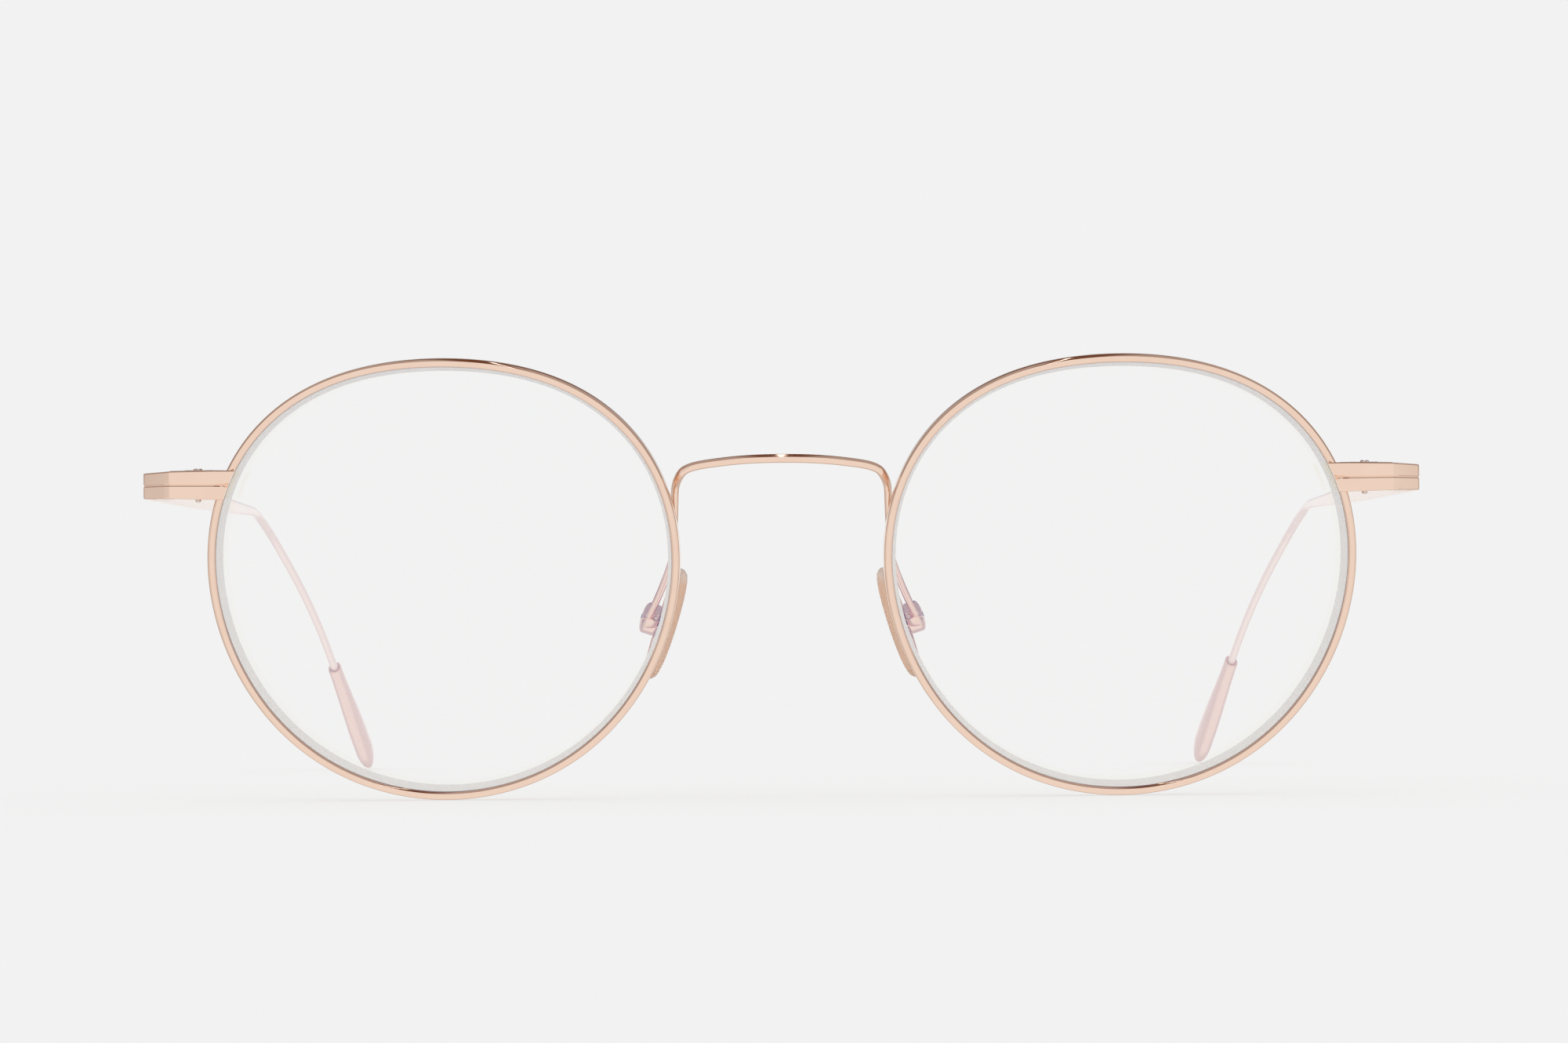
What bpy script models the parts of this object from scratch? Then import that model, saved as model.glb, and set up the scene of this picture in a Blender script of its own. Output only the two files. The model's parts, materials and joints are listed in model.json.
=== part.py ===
"""Full-rim metal eyeglasses for a standing pose: they rest on both rims and both temple tips.

Lengths are millimetres until solid() turns them into metres. +Z is up and the lenses face -Y.
The right-hand half (+X) is worked out and the left-hand half is its mirror image in x = 0.
"""

import math

import bpy
import bmesh
import numpy as np

# ---- driving dimensions, in millimetres and degrees ----
LENS_SPACING = 71.0  # from lens centre to lens centre
RIM_CENTRE_Z = 22.686  # height of the lens centres, which puts the rims on z = 0
FRONT_Y = -68.216  # depth of the lens vertices, which centres the whole length on y = 0
TILT = 5.5  # top of the front leans away from the face
WRAP = 4.0  # each lens turns back at its temple side
BASE_RADIUS = 120.0  # radius of the lens front surface

RIM_WIDTH = 0.85  # seen from the front
RIM_DEPTH = 1.9
RIM_ROUND = 0.34  # depth of the rounded front
GROOVE_AT = 0.93  # lens groove, from the rim front
GROOVE_HALF = 0.30
GROOVE_DEEP = 0.36
RIM_STEPS = 72
RIM_GAP = 0.24  # slit in the rim, closed by the rim screw

LENS_CLEAR = 0.02
LENS_SET = 0.62  # lens front behind the rim front
LENS_THICK = 2.0
LENS_CHAMFER = 0.5

PLATE_UP = 10.0  # end piece centre above the lens centre
PLATE_BACK = 2.0  # its front face, behind the lens vertex
PLATE_LAP = 0.54  # its thickness where it laps over the rim
PLATE_THICK = 1.1
SIDE_THICK = 1.04
PLATE_STEP = 24.0  # where it becomes thick, beside the rim
PLATE_CORNER = 28.5
PLATE_TALL = (3.05, 2.86, 2.7)  # height at the rim, at the corner and on the side
SIDE_X = 66.75  # outermost face of the side
SCORE_HALF = 0.11  # decorative groove along the end piece
SCORE_DEEP = 0.1
EDGE = 0.1  # small chamfers on flat strips

BLOCK_OUT = 27.4  # outer face of the rim lock blocks
UPPER_TALL = 1.25
LOWER_TALL = 1.5  # the lower block is taller, for the thread
BLOCK_DEPTH = 2.2
BLOCK_GAP = 0.06  # half the gap between the two blocks
LOCK_ACROSS = 25.8  # rim screw
LOCK_BORE = 0.36
LOCK_SHAFT = 0.32
LOCK_HEAD = 0.48
LOCK_HEAD_TALL = 0.2
LOCK_TAIL = 0.42  # screw end below the lower block

HINGE_X = 64.6
HINGE_BACK = 12.5  # hinge axis behind the lens vertex
HINGE_Z = 32.8
KNUCKLE = 0.8
HINGE_BORE = 0.46
HINGE_PIN = 0.42
HINGE_HEAD = 0.62
HINGE_HEAD_TALL = 0.28
KNUCKLE_HALF = 1.1  # half the height of the whole barrel
KNUCKLE_MID = 0.42  # half the height of the middle knuckle
KNUCKLE_GAP = 0.05
LEAF_IN = 0.18
LEAF_OUT = 0.80
LEAF_TALL = 1.0
LEAF_START = 0.92
LEAF_FRONT = 5.2
LEAF_BACK = 7.5
SIDE_OUT = 1.90  # outer face of side and temple beyond the hinge axis

BEND_X = 61.9  # corner of the temple above the ear
BEND_BACK = 105.2
BEND_Z = 31.1
KNEE_X = 56.5  # gentle second corner, on the way down
KNEE_BACK = 117.6
KNEE_Z = 20.0
END_X = 51.0  # centre of the rounded tip end
END_BACK = 136.4
END_Z = 1.293
TIP_LENGTH = 16.2
TIP_CORE = 10.5  # length of temple wire inside the tip
TIP_WIDE = 3.7
TIP_THICK = 2.0
WIRE_CORE = 0.42
WIRE_HOLE = 0.47

BRIDGE_R = 0.46
BRIDGE_FOOT_X = 11.1
BRIDGE_FOOT_BACK = 2.9
BRIDGE_FOOT_Z = 27.6
BRIDGE_TOP_Z = 35.3

PAD_X = 13.5  # pivot of the nose pad
PAD_BACK = 8.7
PAD_Z = 18.6
PAD_LENGTH = 6.1  # half length and half width
PAD_WIDTH = 3.4
PAD_STEPS = 28
PAD_FACE_AT = 2.3  # bearing face, from the pivot
CUP_R = 1.65
CUP_IN = 1.25
PAD_SCREW = 0.26
PAD_BORE = 0.305
ARM_R = 0.38

MM = 0.001


def unit(vector):
    vector = np.asarray(vector, float)
    return vector / np.linalg.norm(vector)


# ---- materials ----
def material(name, colour, roughness, metallic, transmission=0.0):
    made = bpy.data.materials.new(name)
    made.use_nodes = True
    shader = made.node_tree.nodes["Principled BSDF"]
    shader.inputs["Base Color"].default_value = (*colour, 1.0)
    shader.inputs["Roughness"].default_value = roughness
    shader.inputs["Metallic"].default_value = metallic
    shader.inputs["Transmission Weight"].default_value = transmission
    return made


# ---- mesh building ----
def solid(name, mesh_data, surface, side=1, pivot=(0.0, 0.0, 0.0)):
    """One object from points and faces in millimetres, mirrored in x for side -1, origin on pivot."""
    points, faces = mesh_data
    flip = np.array([side, 1.0, 1.0])
    pivot = np.array(pivot) * flip
    local = (np.array(points) * flip - pivot) * MM
    mesh = bpy.data.meshes.new(name)
    mesh.from_pydata(local.tolist(), [], faces)
    mesh.update()
    work = bmesh.new()
    work.from_mesh(mesh)
    bmesh.ops.recalc_face_normals(work, faces=work.faces)
    if work.calc_volume(signed=True) < 0:
        bmesh.ops.reverse_faces(work, faces=work.faces)
    work.to_mesh(mesh)
    work.free()
    mesh.shade_smooth()
    mesh.set_sharp_from_angle(angle=math.radians(35))
    mesh.materials.append(surface)
    made = bpy.data.objects.new(name, mesh)
    made.location = (pivot * MM).tolist()
    bpy.context.collection.objects.link(made)
    return made


def helper(name, mesh_data, side, target, operation):
    """A hidden shape joined to or cut out of target."""
    made = solid(name, mesh_data, target.data.materials[0], side)
    made.hide_render = True
    made.display_type = "WIRE"
    step = target.modifiers.new(name, "BOOLEAN")
    step.operation = operation
    step.solver = "EXACT"
    step.object = made
    return made


def loft(rings, closed=False):
    """Skin over rings of equal point count. Open lofts get a flat cap at each end."""
    count = len(rings[0])
    points = [point for ring in rings for point in ring]
    faces = []
    spans = len(rings) if closed else len(rings) - 1
    for i in range(spans):
        here = i * count
        there = ((i + 1) % len(rings)) * count
        for k in range(count):
            n = (k + 1) % count
            faces.append((here + k, here + n, there + n, there + k))
    if not closed:
        faces.append(tuple(range(count)))
        faces.append(tuple(range(len(points) - 1, len(points) - count - 1, -1)))
    return points, faces


def dome_loft(first, rings, last):
    """Skin over rings with a single point closing each end."""
    count = len(rings[0])
    points, faces = loft(rings)
    faces = faces[:-2]
    start = len(points)
    points = points + [first, last]
    back = (len(rings) - 1) * count
    for k in range(count):
        n = (k + 1) % count
        faces.append((k, n, start))
        faces.append((back + n, back + k, start + 1))
    return points, faces


def box(place, low, high):
    """Rectangular block between two corners given in the coordinates that place() reads."""
    rings = []
    for w in (low[2], high[2]):
        corners = [(low[0], low[1]), (high[0], low[1]), (high[0], high[1]), (low[0], high[1])]
        rings.append([place(u, v, w) for u, v in corners])
    return loft(rings)


def lathe(place, profile, steps, closed=False):
    """Revolve (radius, height) pairs. place(u, v, h) gives the point. closed makes a tube."""
    rings = []
    for radius, height in profile:
        turn = [2 * math.pi * (k + 0.5) / steps for k in range(steps)]
        rings.append([place(radius * math.cos(a), radius * math.sin(a), height) for a in turn])
    return loft(rings, closed)


def ring_about(centre, first, second, half_first, half_second, count, power=1.0):
    """Oval ring. A power below one squares it up."""
    ring = []
    for k in range(count):
        angle = 2 * math.pi * (k + 0.5) / count
        c, s = math.cos(angle), math.sin(angle)
        u = half_first * math.copysign(abs(c) ** power, c)
        v = half_second * math.copysign(abs(s) ** power, s)
        ring.append(centre + u * first + v * second)
    return ring


def bezier(p0, p1, p2, p3, steps):
    """Points of a cubic curve, both ends included."""
    p0, p1, p2, p3 = (np.array(p, float) for p in (p0, p1, p2, p3))
    found = []
    for i in range(steps + 1):
        t = i / steps
        m = 1 - t
        found.append(m**3 * p0 + 3 * m * m * t * p1 + 3 * m * t * t * p2 + t**3 * p3)
    return found


def round_corner(before, corner, after, lead, steps):
    """Quadratic curve that leaves both legs of a corner at the distance lead from it."""
    corner = np.array(corner, float)
    p0 = corner + lead * unit(np.subtract(before, corner))
    p2 = corner + lead * unit(np.subtract(after, corner))
    found = []
    for i in range(steps + 1):
        t = i / steps
        found.append((1 - t) ** 2 * p0 + 2 * t * (1 - t) * corner + t * t * p2)
    return found


def tangents(path):
    path = np.array(path)
    return [unit(t) for t in np.gradient(path, axis=0)]


def tube(path, radius, count, first_side):
    """Round wire along a path. radius is a number or a function of the fraction along it."""
    rings = []
    side = unit(first_side)
    for i, (point, along) in enumerate(zip(path, tangents(path))):
        side = unit(side - along * np.dot(side, along))
        r = radius(i / (len(path) - 1)) if callable(radius) else radius
        rings.append(ring_about(point, side, np.cross(along, side), r, r, count))
    return loft(rings)


# ---- frames of reference ----
def front_point(across, up, back):
    """Point in the tilted, wrapped frame of the right-hand lens."""
    w, t = math.radians(WRAP), math.radians(TILT)
    x = across * math.cos(w) - back * math.sin(w)
    y = across * math.sin(w) + back * math.cos(w)
    return np.array(
        [
            LENS_SPACING / 2 + x,
            FRONT_Y + y * math.cos(t) - up * math.sin(t),
            RIM_CENTRE_Z + up * math.cos(t) + y * math.sin(t),
        ]
    )


def rim_radius(angle):
    """Outer edge of the rim about the lens centre. Angle 0 is the temple side, 90 degrees the brow."""
    return (
        24.05
        + 0.55 * math.sin(angle)
        + 0.79 * math.cos(2 * angle)
        + 0.53 * math.sin(3 * angle)
        - 0.20 * math.cos(4 * angle)
    )


def sag(radius):
    return radius * radius / (2 * BASE_RADIUS)


def polar(radius, angle, back):
    return front_point(radius * math.cos(angle), radius * math.sin(angle), back)


def rim_across(up, inset):
    """Across position of the rim's temple side at a height, a given inset from the outer edge."""
    angle = math.atan2(up, 23.0)
    for _ in range(12):
        radius = rim_radius(angle) - inset
        angle = math.asin(up / radius)
    return radius * math.cos(angle)


TEMPLE_WAY = unit(
    [BEND_X - (HINGE_X + SIDE_OUT - 0.52), BEND_BACK - HINGE_BACK, BEND_Z - HINGE_Z]
)
HINGE = np.array([HINGE_X, FRONT_Y + HINGE_BACK, HINGE_Z])
HINGE_BACKWARD = unit([TEMPLE_WAY[0], TEMPLE_WAY[1], 0.0])
HINGE_OUTWARD = np.array([HINGE_BACKWARD[1], -HINGE_BACKWARD[0], 0.0])


def hinge_point(out, back, up):
    """Point in the frame of the hinge, whose axis is vertical."""
    return HINGE + out * HINGE_OUTWARD + back * HINGE_BACKWARD + np.array([0.0, 0.0, up])


PAD = np.array([PAD_X, FRONT_Y + PAD_BACK, PAD_Z])
PAD_LONG = unit([-0.295, 0.17, 0.94])
PAD_FACE = np.array([-0.97, 0.16, -0.24])
PAD_FACE = unit(PAD_FACE - PAD_LONG * np.dot(PAD_FACE, PAD_LONG))
PAD_ACROSS = np.cross(PAD_LONG, PAD_FACE)
PAD_ACROSS = PAD_ACROSS * math.copysign(1.0, PAD_ACROSS[1])


def pad_point(along, across, face):
    """Point in the frame of the nose pad: along it, across it to the face, towards the nose."""
    return PAD + along * PAD_LONG + across * PAD_ACROSS + face * PAD_FACE


# ---- rims and lenses ----
CLOSING = math.atan2(PLATE_UP, rim_across(PLATE_UP, 0.0))


def rim_profile():
    """(inward, back) corners of the rim wire: rounded front, lens groove, square back."""
    half = RIM_WIDTH / 2
    front = [math.pi * k / 4 for k in range(5)]
    corners = [(half - half * math.cos(a), RIM_ROUND * (1 - math.sin(a))) for a in front]
    corners.append((RIM_WIDTH, GROOVE_AT - GROOVE_HALF))
    corners.append((RIM_WIDTH - GROOVE_DEEP, GROOVE_AT))
    corners.append((RIM_WIDTH, GROOVE_AT + GROOVE_HALF))
    corners.append((RIM_WIDTH, RIM_DEPTH))
    corners.append((0.0, RIM_DEPTH))
    return corners


def rim_mesh():
    """The rim wire runs once round the lens and stops short of meeting itself at the rim lock."""
    half_gap = RIM_GAP / 2 / rim_radius(CLOSING)
    rings = []
    for i in range(RIM_STEPS + 1):
        turn = i / RIM_STEPS
        angle = CLOSING + half_gap + (2 * math.pi - 2 * half_gap) * turn
        radius = rim_radius(angle)
        depth = sag(radius)
        rings.append([polar(radius - u, angle, depth + v) for u, v in rim_profile()])
    return loft(rings)


def lens_mesh():
    """Meniscus lens with a bevel that sits in the rim groove and a chamfered back edge."""
    half_gap = RIM_GAP / 2 / rim_radius(CLOSING)
    angles = [
        CLOSING + half_gap + (2 * math.pi - 2 * half_gap) * i / RIM_STEPS
        for i in range(RIM_STEPS + 1)
    ]
    edge = RIM_WIDTH + LENS_CLEAR
    bevel = GROOVE_DEEP - 2 * LENS_CLEAR
    back_edge = LENS_SET + LENS_THICK
    # Each step: fraction of the edge radius, offset from the edge, depth, and which sag it follows.
    rings = []

    def ring(fraction, offset, back, own_sag):
        made = []
        for angle in angles:
            outer = rim_radius(angle)
            radius = (outer - edge) * fraction + offset
            made.append(polar(radius, angle, sag(radius if own_sag else outer) + back))
        rings.append(made)

    ring(0.55, 0.0, LENS_SET, True)
    ring(1.0, 0.0, LENS_SET, True)
    ring(1.0, 0.0, GROOVE_AT - GROOVE_HALF + LENS_CLEAR, False)
    ring(1.0, bevel, GROOVE_AT, False)
    ring(1.0, 0.0, GROOVE_AT + GROOVE_HALF - LENS_CLEAR, False)
    ring(1.0, 0.0, back_edge - LENS_CHAMFER, True)
    ring(1.0, -LENS_CHAMFER, back_edge, True)
    ring(0.55, 0.0, back_edge, True)
    return dome_loft(polar(0, 0, LENS_SET), rings, polar(0, 0, back_edge))


# ---- end pieces ----
def strip_section(tall, thick):
    """(up, in) corners of a flat strip with chamfered edges and a score line along its outer face."""
    top = tall / 2
    return [
        (-top + EDGE, 0.0),
        (-SCORE_HALF, 0.0),
        (0.0, SCORE_DEEP),
        (SCORE_HALF, 0.0),
        (top - EDGE, 0.0),
        (top, EDGE),
        (top, thick - EDGE),
        (top - EDGE, thick),
        (-top + EDGE, thick),
        (-top, thick - EDGE),
        (-top, EDGE),
    ]


def end_piece_mesh():
    """Front plate, 45 degree corner facet and side, one folded strip."""
    ahead = front_point(0, 0, -1) - front_point(0, 0, 0)
    rise = front_point(0, 1, 0) - front_point(0, 0, 0)
    side_out = HINGE_OUTWARD
    facet = unit(ahead + side_out)
    corner = front_point(PLATE_CORNER, PLATE_UP, PLATE_BACK)
    stop = hinge_point(SIDE_OUT, -0.1, 0.0)
    reach = SIDE_X - corner[0]
    turn = corner + np.array([reach, reach, -0.02 * reach])
    rings = []

    def station(centre, outward, up, tall, thick):
        rings.append([centre + up * u - outward * v for u, v in strip_section(tall, thick)])

    lap = []
    for u, v in strip_section(PLATE_TALL[0], PLATE_LAP):
        across = rim_across(PLATE_UP + u, RIM_WIDTH)
        lap.append(front_point(across, PLATE_UP + u, PLATE_BACK + v))
    rings.append(lap)
    for across, thick in ((PLATE_STEP, PLATE_LAP), (PLATE_STEP + 0.03, PLATE_THICK)):
        station(front_point(across, PLATE_UP, PLATE_BACK), ahead, rise, PLATE_TALL[0], thick)
    upright = np.array([0.0, 0.0, 1.0])
    for place, before, after, up, tall, thick in (
        (corner, ahead, facet, rise, PLATE_TALL[1], PLATE_THICK),
        (turn, facet, side_out, upright, PLATE_TALL[2], SIDE_THICK),
    ):
        mitre = unit(before + after)
        station(place, mitre, up, tall, thick / np.dot(mitre, before))
    station(stop, side_out, upright, PLATE_TALL[2], SIDE_THICK)
    return loft(rings)


# ---- rim locks ----
def lock_point(out, back, up):
    """Point about the rim screw axis."""
    middle = PLATE_BACK + PLATE_THICK + 0.04 + BLOCK_DEPTH / 2
    return front_point(LOCK_ACROSS + out, PLATE_UP + up, middle + back)


def block_mesh(above):
    low, high = (BLOCK_GAP, BLOCK_GAP + UPPER_TALL) if above else (-BLOCK_GAP - LOWER_TALL, -BLOCK_GAP)
    inner = rim_across(PLATE_UP + low, 0.0) + 0.03 - LOCK_ACROSS
    half = BLOCK_DEPTH / 2
    return box(lock_point, (inner, -half, low), (BLOCK_OUT - LOCK_ACROSS, half, high))


def lock_cutter_mesh():
    return lathe(lock_point, [(LOCK_BORE, -LOWER_TALL - 1), (LOCK_BORE, UPPER_TALL + 1)], 16)


def lock_screw_mesh():
    """Screw that draws the two blocks together. Its head stands on the upper block."""
    seat = BLOCK_GAP + UPPER_TALL + 0.02
    head = seat + LOCK_HEAD_TALL
    end = -BLOCK_GAP - LOWER_TALL - LOCK_TAIL
    profile = [
        (LOCK_SHAFT - 0.08, end),
        (LOCK_SHAFT, end + 0.08),
        (LOCK_SHAFT, seat),
        (LOCK_HEAD, seat),
        (LOCK_HEAD, head - 0.08),
        (LOCK_HEAD - 0.08, head),
    ]
    return lathe(lock_point, profile, 16)


def lock_slot_mesh():
    head = BLOCK_GAP + UPPER_TALL + 0.02 + LOCK_HEAD_TALL
    return box(lock_point, (-0.1, -2, head - 0.12), (0.1, 2, head + 1))


# ---- hinges ----
def extrude_leaf(outline):
    """Flat plate beside the hinge axis from an outline of (back, up) corners."""
    return loft([[hinge_point(out, b, u) for b, u in outline] for out in (LEAF_IN, LEAF_OUT)])


def front_leaf_mesh():
    prong = KNUCKLE_MID + KNUCKLE_GAP
    return extrude_leaf(
        [
            (-LEAF_FRONT, -LEAF_TALL),
            (-0.5, -LEAF_TALL),
            (-0.5, -prong),
            (-LEAF_START, -prong),
            (-LEAF_START, prong),
            (-0.5, prong),
            (-0.5, LEAF_TALL),
            (-LEAF_FRONT, LEAF_TALL),
        ]
    )


def temple_leaf_mesh():
    tongue = KNUCKLE_MID - 0.08
    return extrude_leaf(
        [
            (LEAF_BACK, -LEAF_TALL),
            (LEAF_START, -LEAF_TALL),
            (LEAF_START, -tongue),
            (0.5, -tongue),
            (0.5, tongue),
            (LEAF_START, tongue),
            (LEAF_START, LEAF_TALL),
            (LEAF_BACK, LEAF_TALL),
        ]
    )


def plain_knuckle_mesh(low, high):
    profile = [(HINGE_BORE, low), (KNUCKLE, low), (KNUCKLE, high), (HINGE_BORE, high)]
    return lathe(hinge_point, profile, 16, closed=True)


def head_knuckle_mesh():
    """Top knuckle, with a counterbore that takes the screw head."""
    low = KNUCKLE_MID + KNUCKLE_GAP
    step = KNUCKLE_HALF - HINGE_HEAD_TALL
    wide = HINGE_HEAD + 0.04
    profile = [
        (HINGE_BORE, low),
        (KNUCKLE, low),
        (KNUCKLE, KNUCKLE_HALF),
        (wide, KNUCKLE_HALF),
        (wide, step),
        (HINGE_BORE, step),
    ]
    return lathe(hinge_point, profile, 16, closed=True)


def hinge_screw_mesh():
    step = KNUCKLE_HALF - HINGE_HEAD_TALL + 0.02
    profile = [
        (HINGE_PIN - 0.06, -KNUCKLE_HALF + 0.02),
        (HINGE_PIN, -KNUCKLE_HALF + 0.08),
        (HINGE_PIN, step),
        (HINGE_HEAD, step),
        (HINGE_HEAD, KNUCKLE_HALF - 0.06),
        (HINGE_HEAD - 0.06, KNUCKLE_HALF),
    ]
    return lathe(hinge_point, profile, 16)


def hinge_slot_mesh():
    return box(hinge_point, (-1, -0.08, KNUCKLE_HALF - 0.14), (1, 0.08, KNUCKLE_HALF + 1))


# ---- temples and tips ----
def temple_path():
    """Centre line: straight to the bend, then down and inward to the tip end."""
    start = hinge_point(SIDE_OUT - 0.52, 0.1, 0.0)
    bend = np.array([BEND_X, FRONT_Y + BEND_BACK, BEND_Z])
    knee = np.array([KNEE_X, FRONT_Y + KNEE_BACK, KNEE_Z])
    end = np.array([END_X, FRONT_Y + END_BACK, END_Z])
    path = [start + (bend - start) * f for f in (0.0, 0.12, 0.3, 0.5, 0.7, 0.85)]
    path += round_corner(start, bend, knee, 7.0, 6)
    path += round_corner(bend, knee, end, 8.0, 5)
    # The last leg is cut where the wire inside the tip ends, and at the tip end.
    leg = unit(knee - end)
    path.append(end + leg * (TIP_LENGTH + 0.4))
    return path, end, leg


def temple_axes(along):
    """Outward and upward directions square to the wire."""
    out = unit(HINGE_OUTWARD - along * np.dot(HINGE_OUTWARD, along))
    return out, np.cross(out, along)


def temple_mesh():
    path, end, leg = temple_path()
    path = path + [end + leg * (TIP_LENGTH - 0.15), end + leg * (TIP_LENGTH - TIP_CORE)]
    ways = tangents(path)
    ways[-1] = ways[-2] = ways[-3] = -leg
    lengths = np.cumsum([0.0] + [np.linalg.norm(b - a) for a, b in zip(path, path[1:])])
    straight = np.linalg.norm(path[6] - path[0])
    rings = []
    for i, (point, along) in enumerate(zip(path, ways)):
        out, up = temple_axes(along)
        # The strip narrows in height towards the bend and becomes a rounded wire.
        f = min(lengths[i] / straight, 1.0)
        half_tall = 1.35 - 0.80 * f**1.6
        half_thick = 0.52 - 0.08 * f
        if i >= len(path) - 2:
            half_tall = half_thick = WIRE_CORE
        rings.append(ring_about(point, out, up, half_thick, half_tall, 12, 0.45 + 0.5 * f))
    return loft(rings)


def tip_mesh():
    _, end, leg = temple_path()
    out, up = temple_axes(-leg)
    top = end + leg * TIP_LENGTH
    rings = []
    steps = 10
    for i in range(steps + 1):
        f = i / steps
        # Fullness rises to 0.72 of the length and rounds off at the end.
        swell = 0.5 - 0.5 * math.cos(math.pi * min(f / 0.72, 1.0))
        close = 1.0 if f < 0.8 else math.sqrt(max(1 - ((f - 0.8) / 0.2) ** 2, 0.0))
        half_wide = (1.0 + (TIP_WIDE / 2 - 1.0) * swell) * max(close, 0.3)
        half_thick = (0.78 + (TIP_THICK / 2 - 0.78) * swell) * max(close, 0.3)
        place = top - leg * (TIP_LENGTH + 1.3) * f
        rings.append(ring_about(place, out, up, half_thick, half_wide, 14, 0.85))
    return loft(rings)


def tip_hole_mesh():
    _, end, leg = temple_path()
    out, up = temple_axes(-leg)
    ends = (TIP_LENGTH + 1.0, TIP_LENGTH - TIP_CORE - 0.15)
    return loft([ring_about(end + leg * d, out, up, WIRE_HOLE, WIRE_HOLE, 12) for d in ends])


# ---- bridge ----
def bridge_mesh():
    """Wire that rises from behind the rims, turns inward and spans the gap in one flat arch."""
    behind = FRONT_Y + BRIDGE_FOOT_BACK
    foot = np.array([BRIDGE_FOOT_X, behind, BRIDGE_FOOT_Z])
    shoulder = np.array([BRIDGE_FOOT_X, behind, BRIDGE_FOOT_Z + 4.2])
    corner = np.array([10.25, FRONT_Y + 0.7, 34.0])
    crown = np.array([6.7, FRONT_Y - 0.45, 34.92])
    middle = np.array([0.0, FRONT_Y - 0.8, BRIDGE_TOP_Z])
    right = [foot, (foot + shoulder) / 2]
    right += bezier(shoulder, shoulder + [0, -0.3, 1.0], corner + [0.45, 0.5, -0.5], corner, 4)
    right += bezier(corner, corner + [-0.6, -0.6, 0.55], crown + [1.6, 0.15, -0.2], crown, 4)[1:]
    right += bezier(crown, crown + [-2.2, -0.2, 0.27], middle + [2.6, 0, 0], middle, 5)[1:]
    left = [point * np.array([-1.0, 1.0, 1.0]) for point in reversed(right[:-1])]

    def radius(f):
        near_end = min(f, 1 - f)
        return BRIDGE_R * min(1.0, 0.6 + 2.4 * near_end)

    return tube(right + left, radius, 12, (0.0, 1.0, 0.0))


# ---- nose pads ----
def pad_ring(scale, face):
    ring = []
    for k in range(PAD_STEPS):
        angle = 2 * math.pi * k / PAD_STEPS
        length = PAD_LENGTH * math.cos(angle)
        width = PAD_WIDTH * math.sin(angle) * (1 - 0.08 * math.cos(angle))
        ring.append(pad_point(length * scale, width * scale, face))
    return ring


def pad_mesh():
    """Soft clear pad: flat bearing face, rounded edge, shallow recess for the metal core."""
    front = ((0.6, PAD_FACE_AT), (0.86, PAD_FACE_AT - 0.17), (1.0, PAD_FACE_AT - 0.65))
    back = ((1.0, 1.12), (0.93, 0.74), (0.76, 0.7), (0.76, 1.17))
    rings = [pad_ring(scale, face) for scale, face in front + back]
    return dome_loft(pad_point(0, 0, PAD_FACE_AT), rings, pad_point(0, 0, 1.17))


def core_mesh():
    rings = [pad_ring(0.71, 1.14), pad_ring(0.71, 0.76)]
    return dome_loft(pad_point(0, 0, 1.14), rings, pad_point(0, 0, 0.76))


def boss_mesh():
    return box(pad_point, (-0.6, -0.72, -0.5), (0.6, 0.72, 0.95))


def pad_bore_mesh():
    return lathe(lambda u, v, h: pad_point(u, h, v), [(PAD_BORE, -4), (PAD_BORE, 4)], 12)


def cup_mesh():
    profile = [
        (CUP_R, 0.3),
        (CUP_R, -1.0),
        (CUP_R - 0.35, -1.35),
        (0.3, -1.35),
    ]
    inner = [(0.3, -0.85), (CUP_IN, -0.85), (CUP_IN, 0.3)]
    outside = lathe(pad_point, profile, 20)[0]
    inside = lathe(pad_point, inner, 20)[0]
    rings = [outside[i : i + 20] for i in range(0, len(outside), 20)]
    rings += [inside[i : i + 20] for i in range(0, len(inside), 20)]
    return rings


def pad_screw_mesh():
    seat = CUP_R + 0.05
    profile = [
        (PAD_SCREW - 0.04, -CUP_R + 0.05),
        (PAD_SCREW, -CUP_R + 0.11),
        (PAD_SCREW, seat),
        (0.48, seat),
        (0.48, seat + 0.26),
        (0.4, seat + 0.34),
    ]
    return lathe(lambda u, v, h: pad_point(u, h, v), profile, 12)


def pad_slot_mesh():
    head = CUP_R + 0.39
    return box(lambda u, v, w: pad_point(u, w, v), (-1, -0.06, head - 0.1), (1, 0.06, head + 1))


def pad_arm_mesh():
    """Wire from the back of the rim, down beside it and out to the front wall of the cup."""
    angle = math.pi - math.asin(4.0 / 24.7)
    outer = rim_radius(angle)
    inward = front_point(0, 0, 1) - front_point(0, 0, 0)
    start = polar(outer - RIM_WIDTH / 2, angle, sag(outer) + RIM_DEPTH + 0.05)
    leave = start + 0.4 * inward
    end = pad_point(0.0, -CUP_R - 0.05, -0.82)
    arrive = end - 0.3 * PAD_ACROSS
    path = [start, *bezier(leave, leave + [0.3, 3.2, -1.8], arrive + [-1.7, -1.0, 3.4], arrive, 11), end]
    return tube(path, ARM_R, 10, (1.0, 0.0, 0.0))


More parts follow.
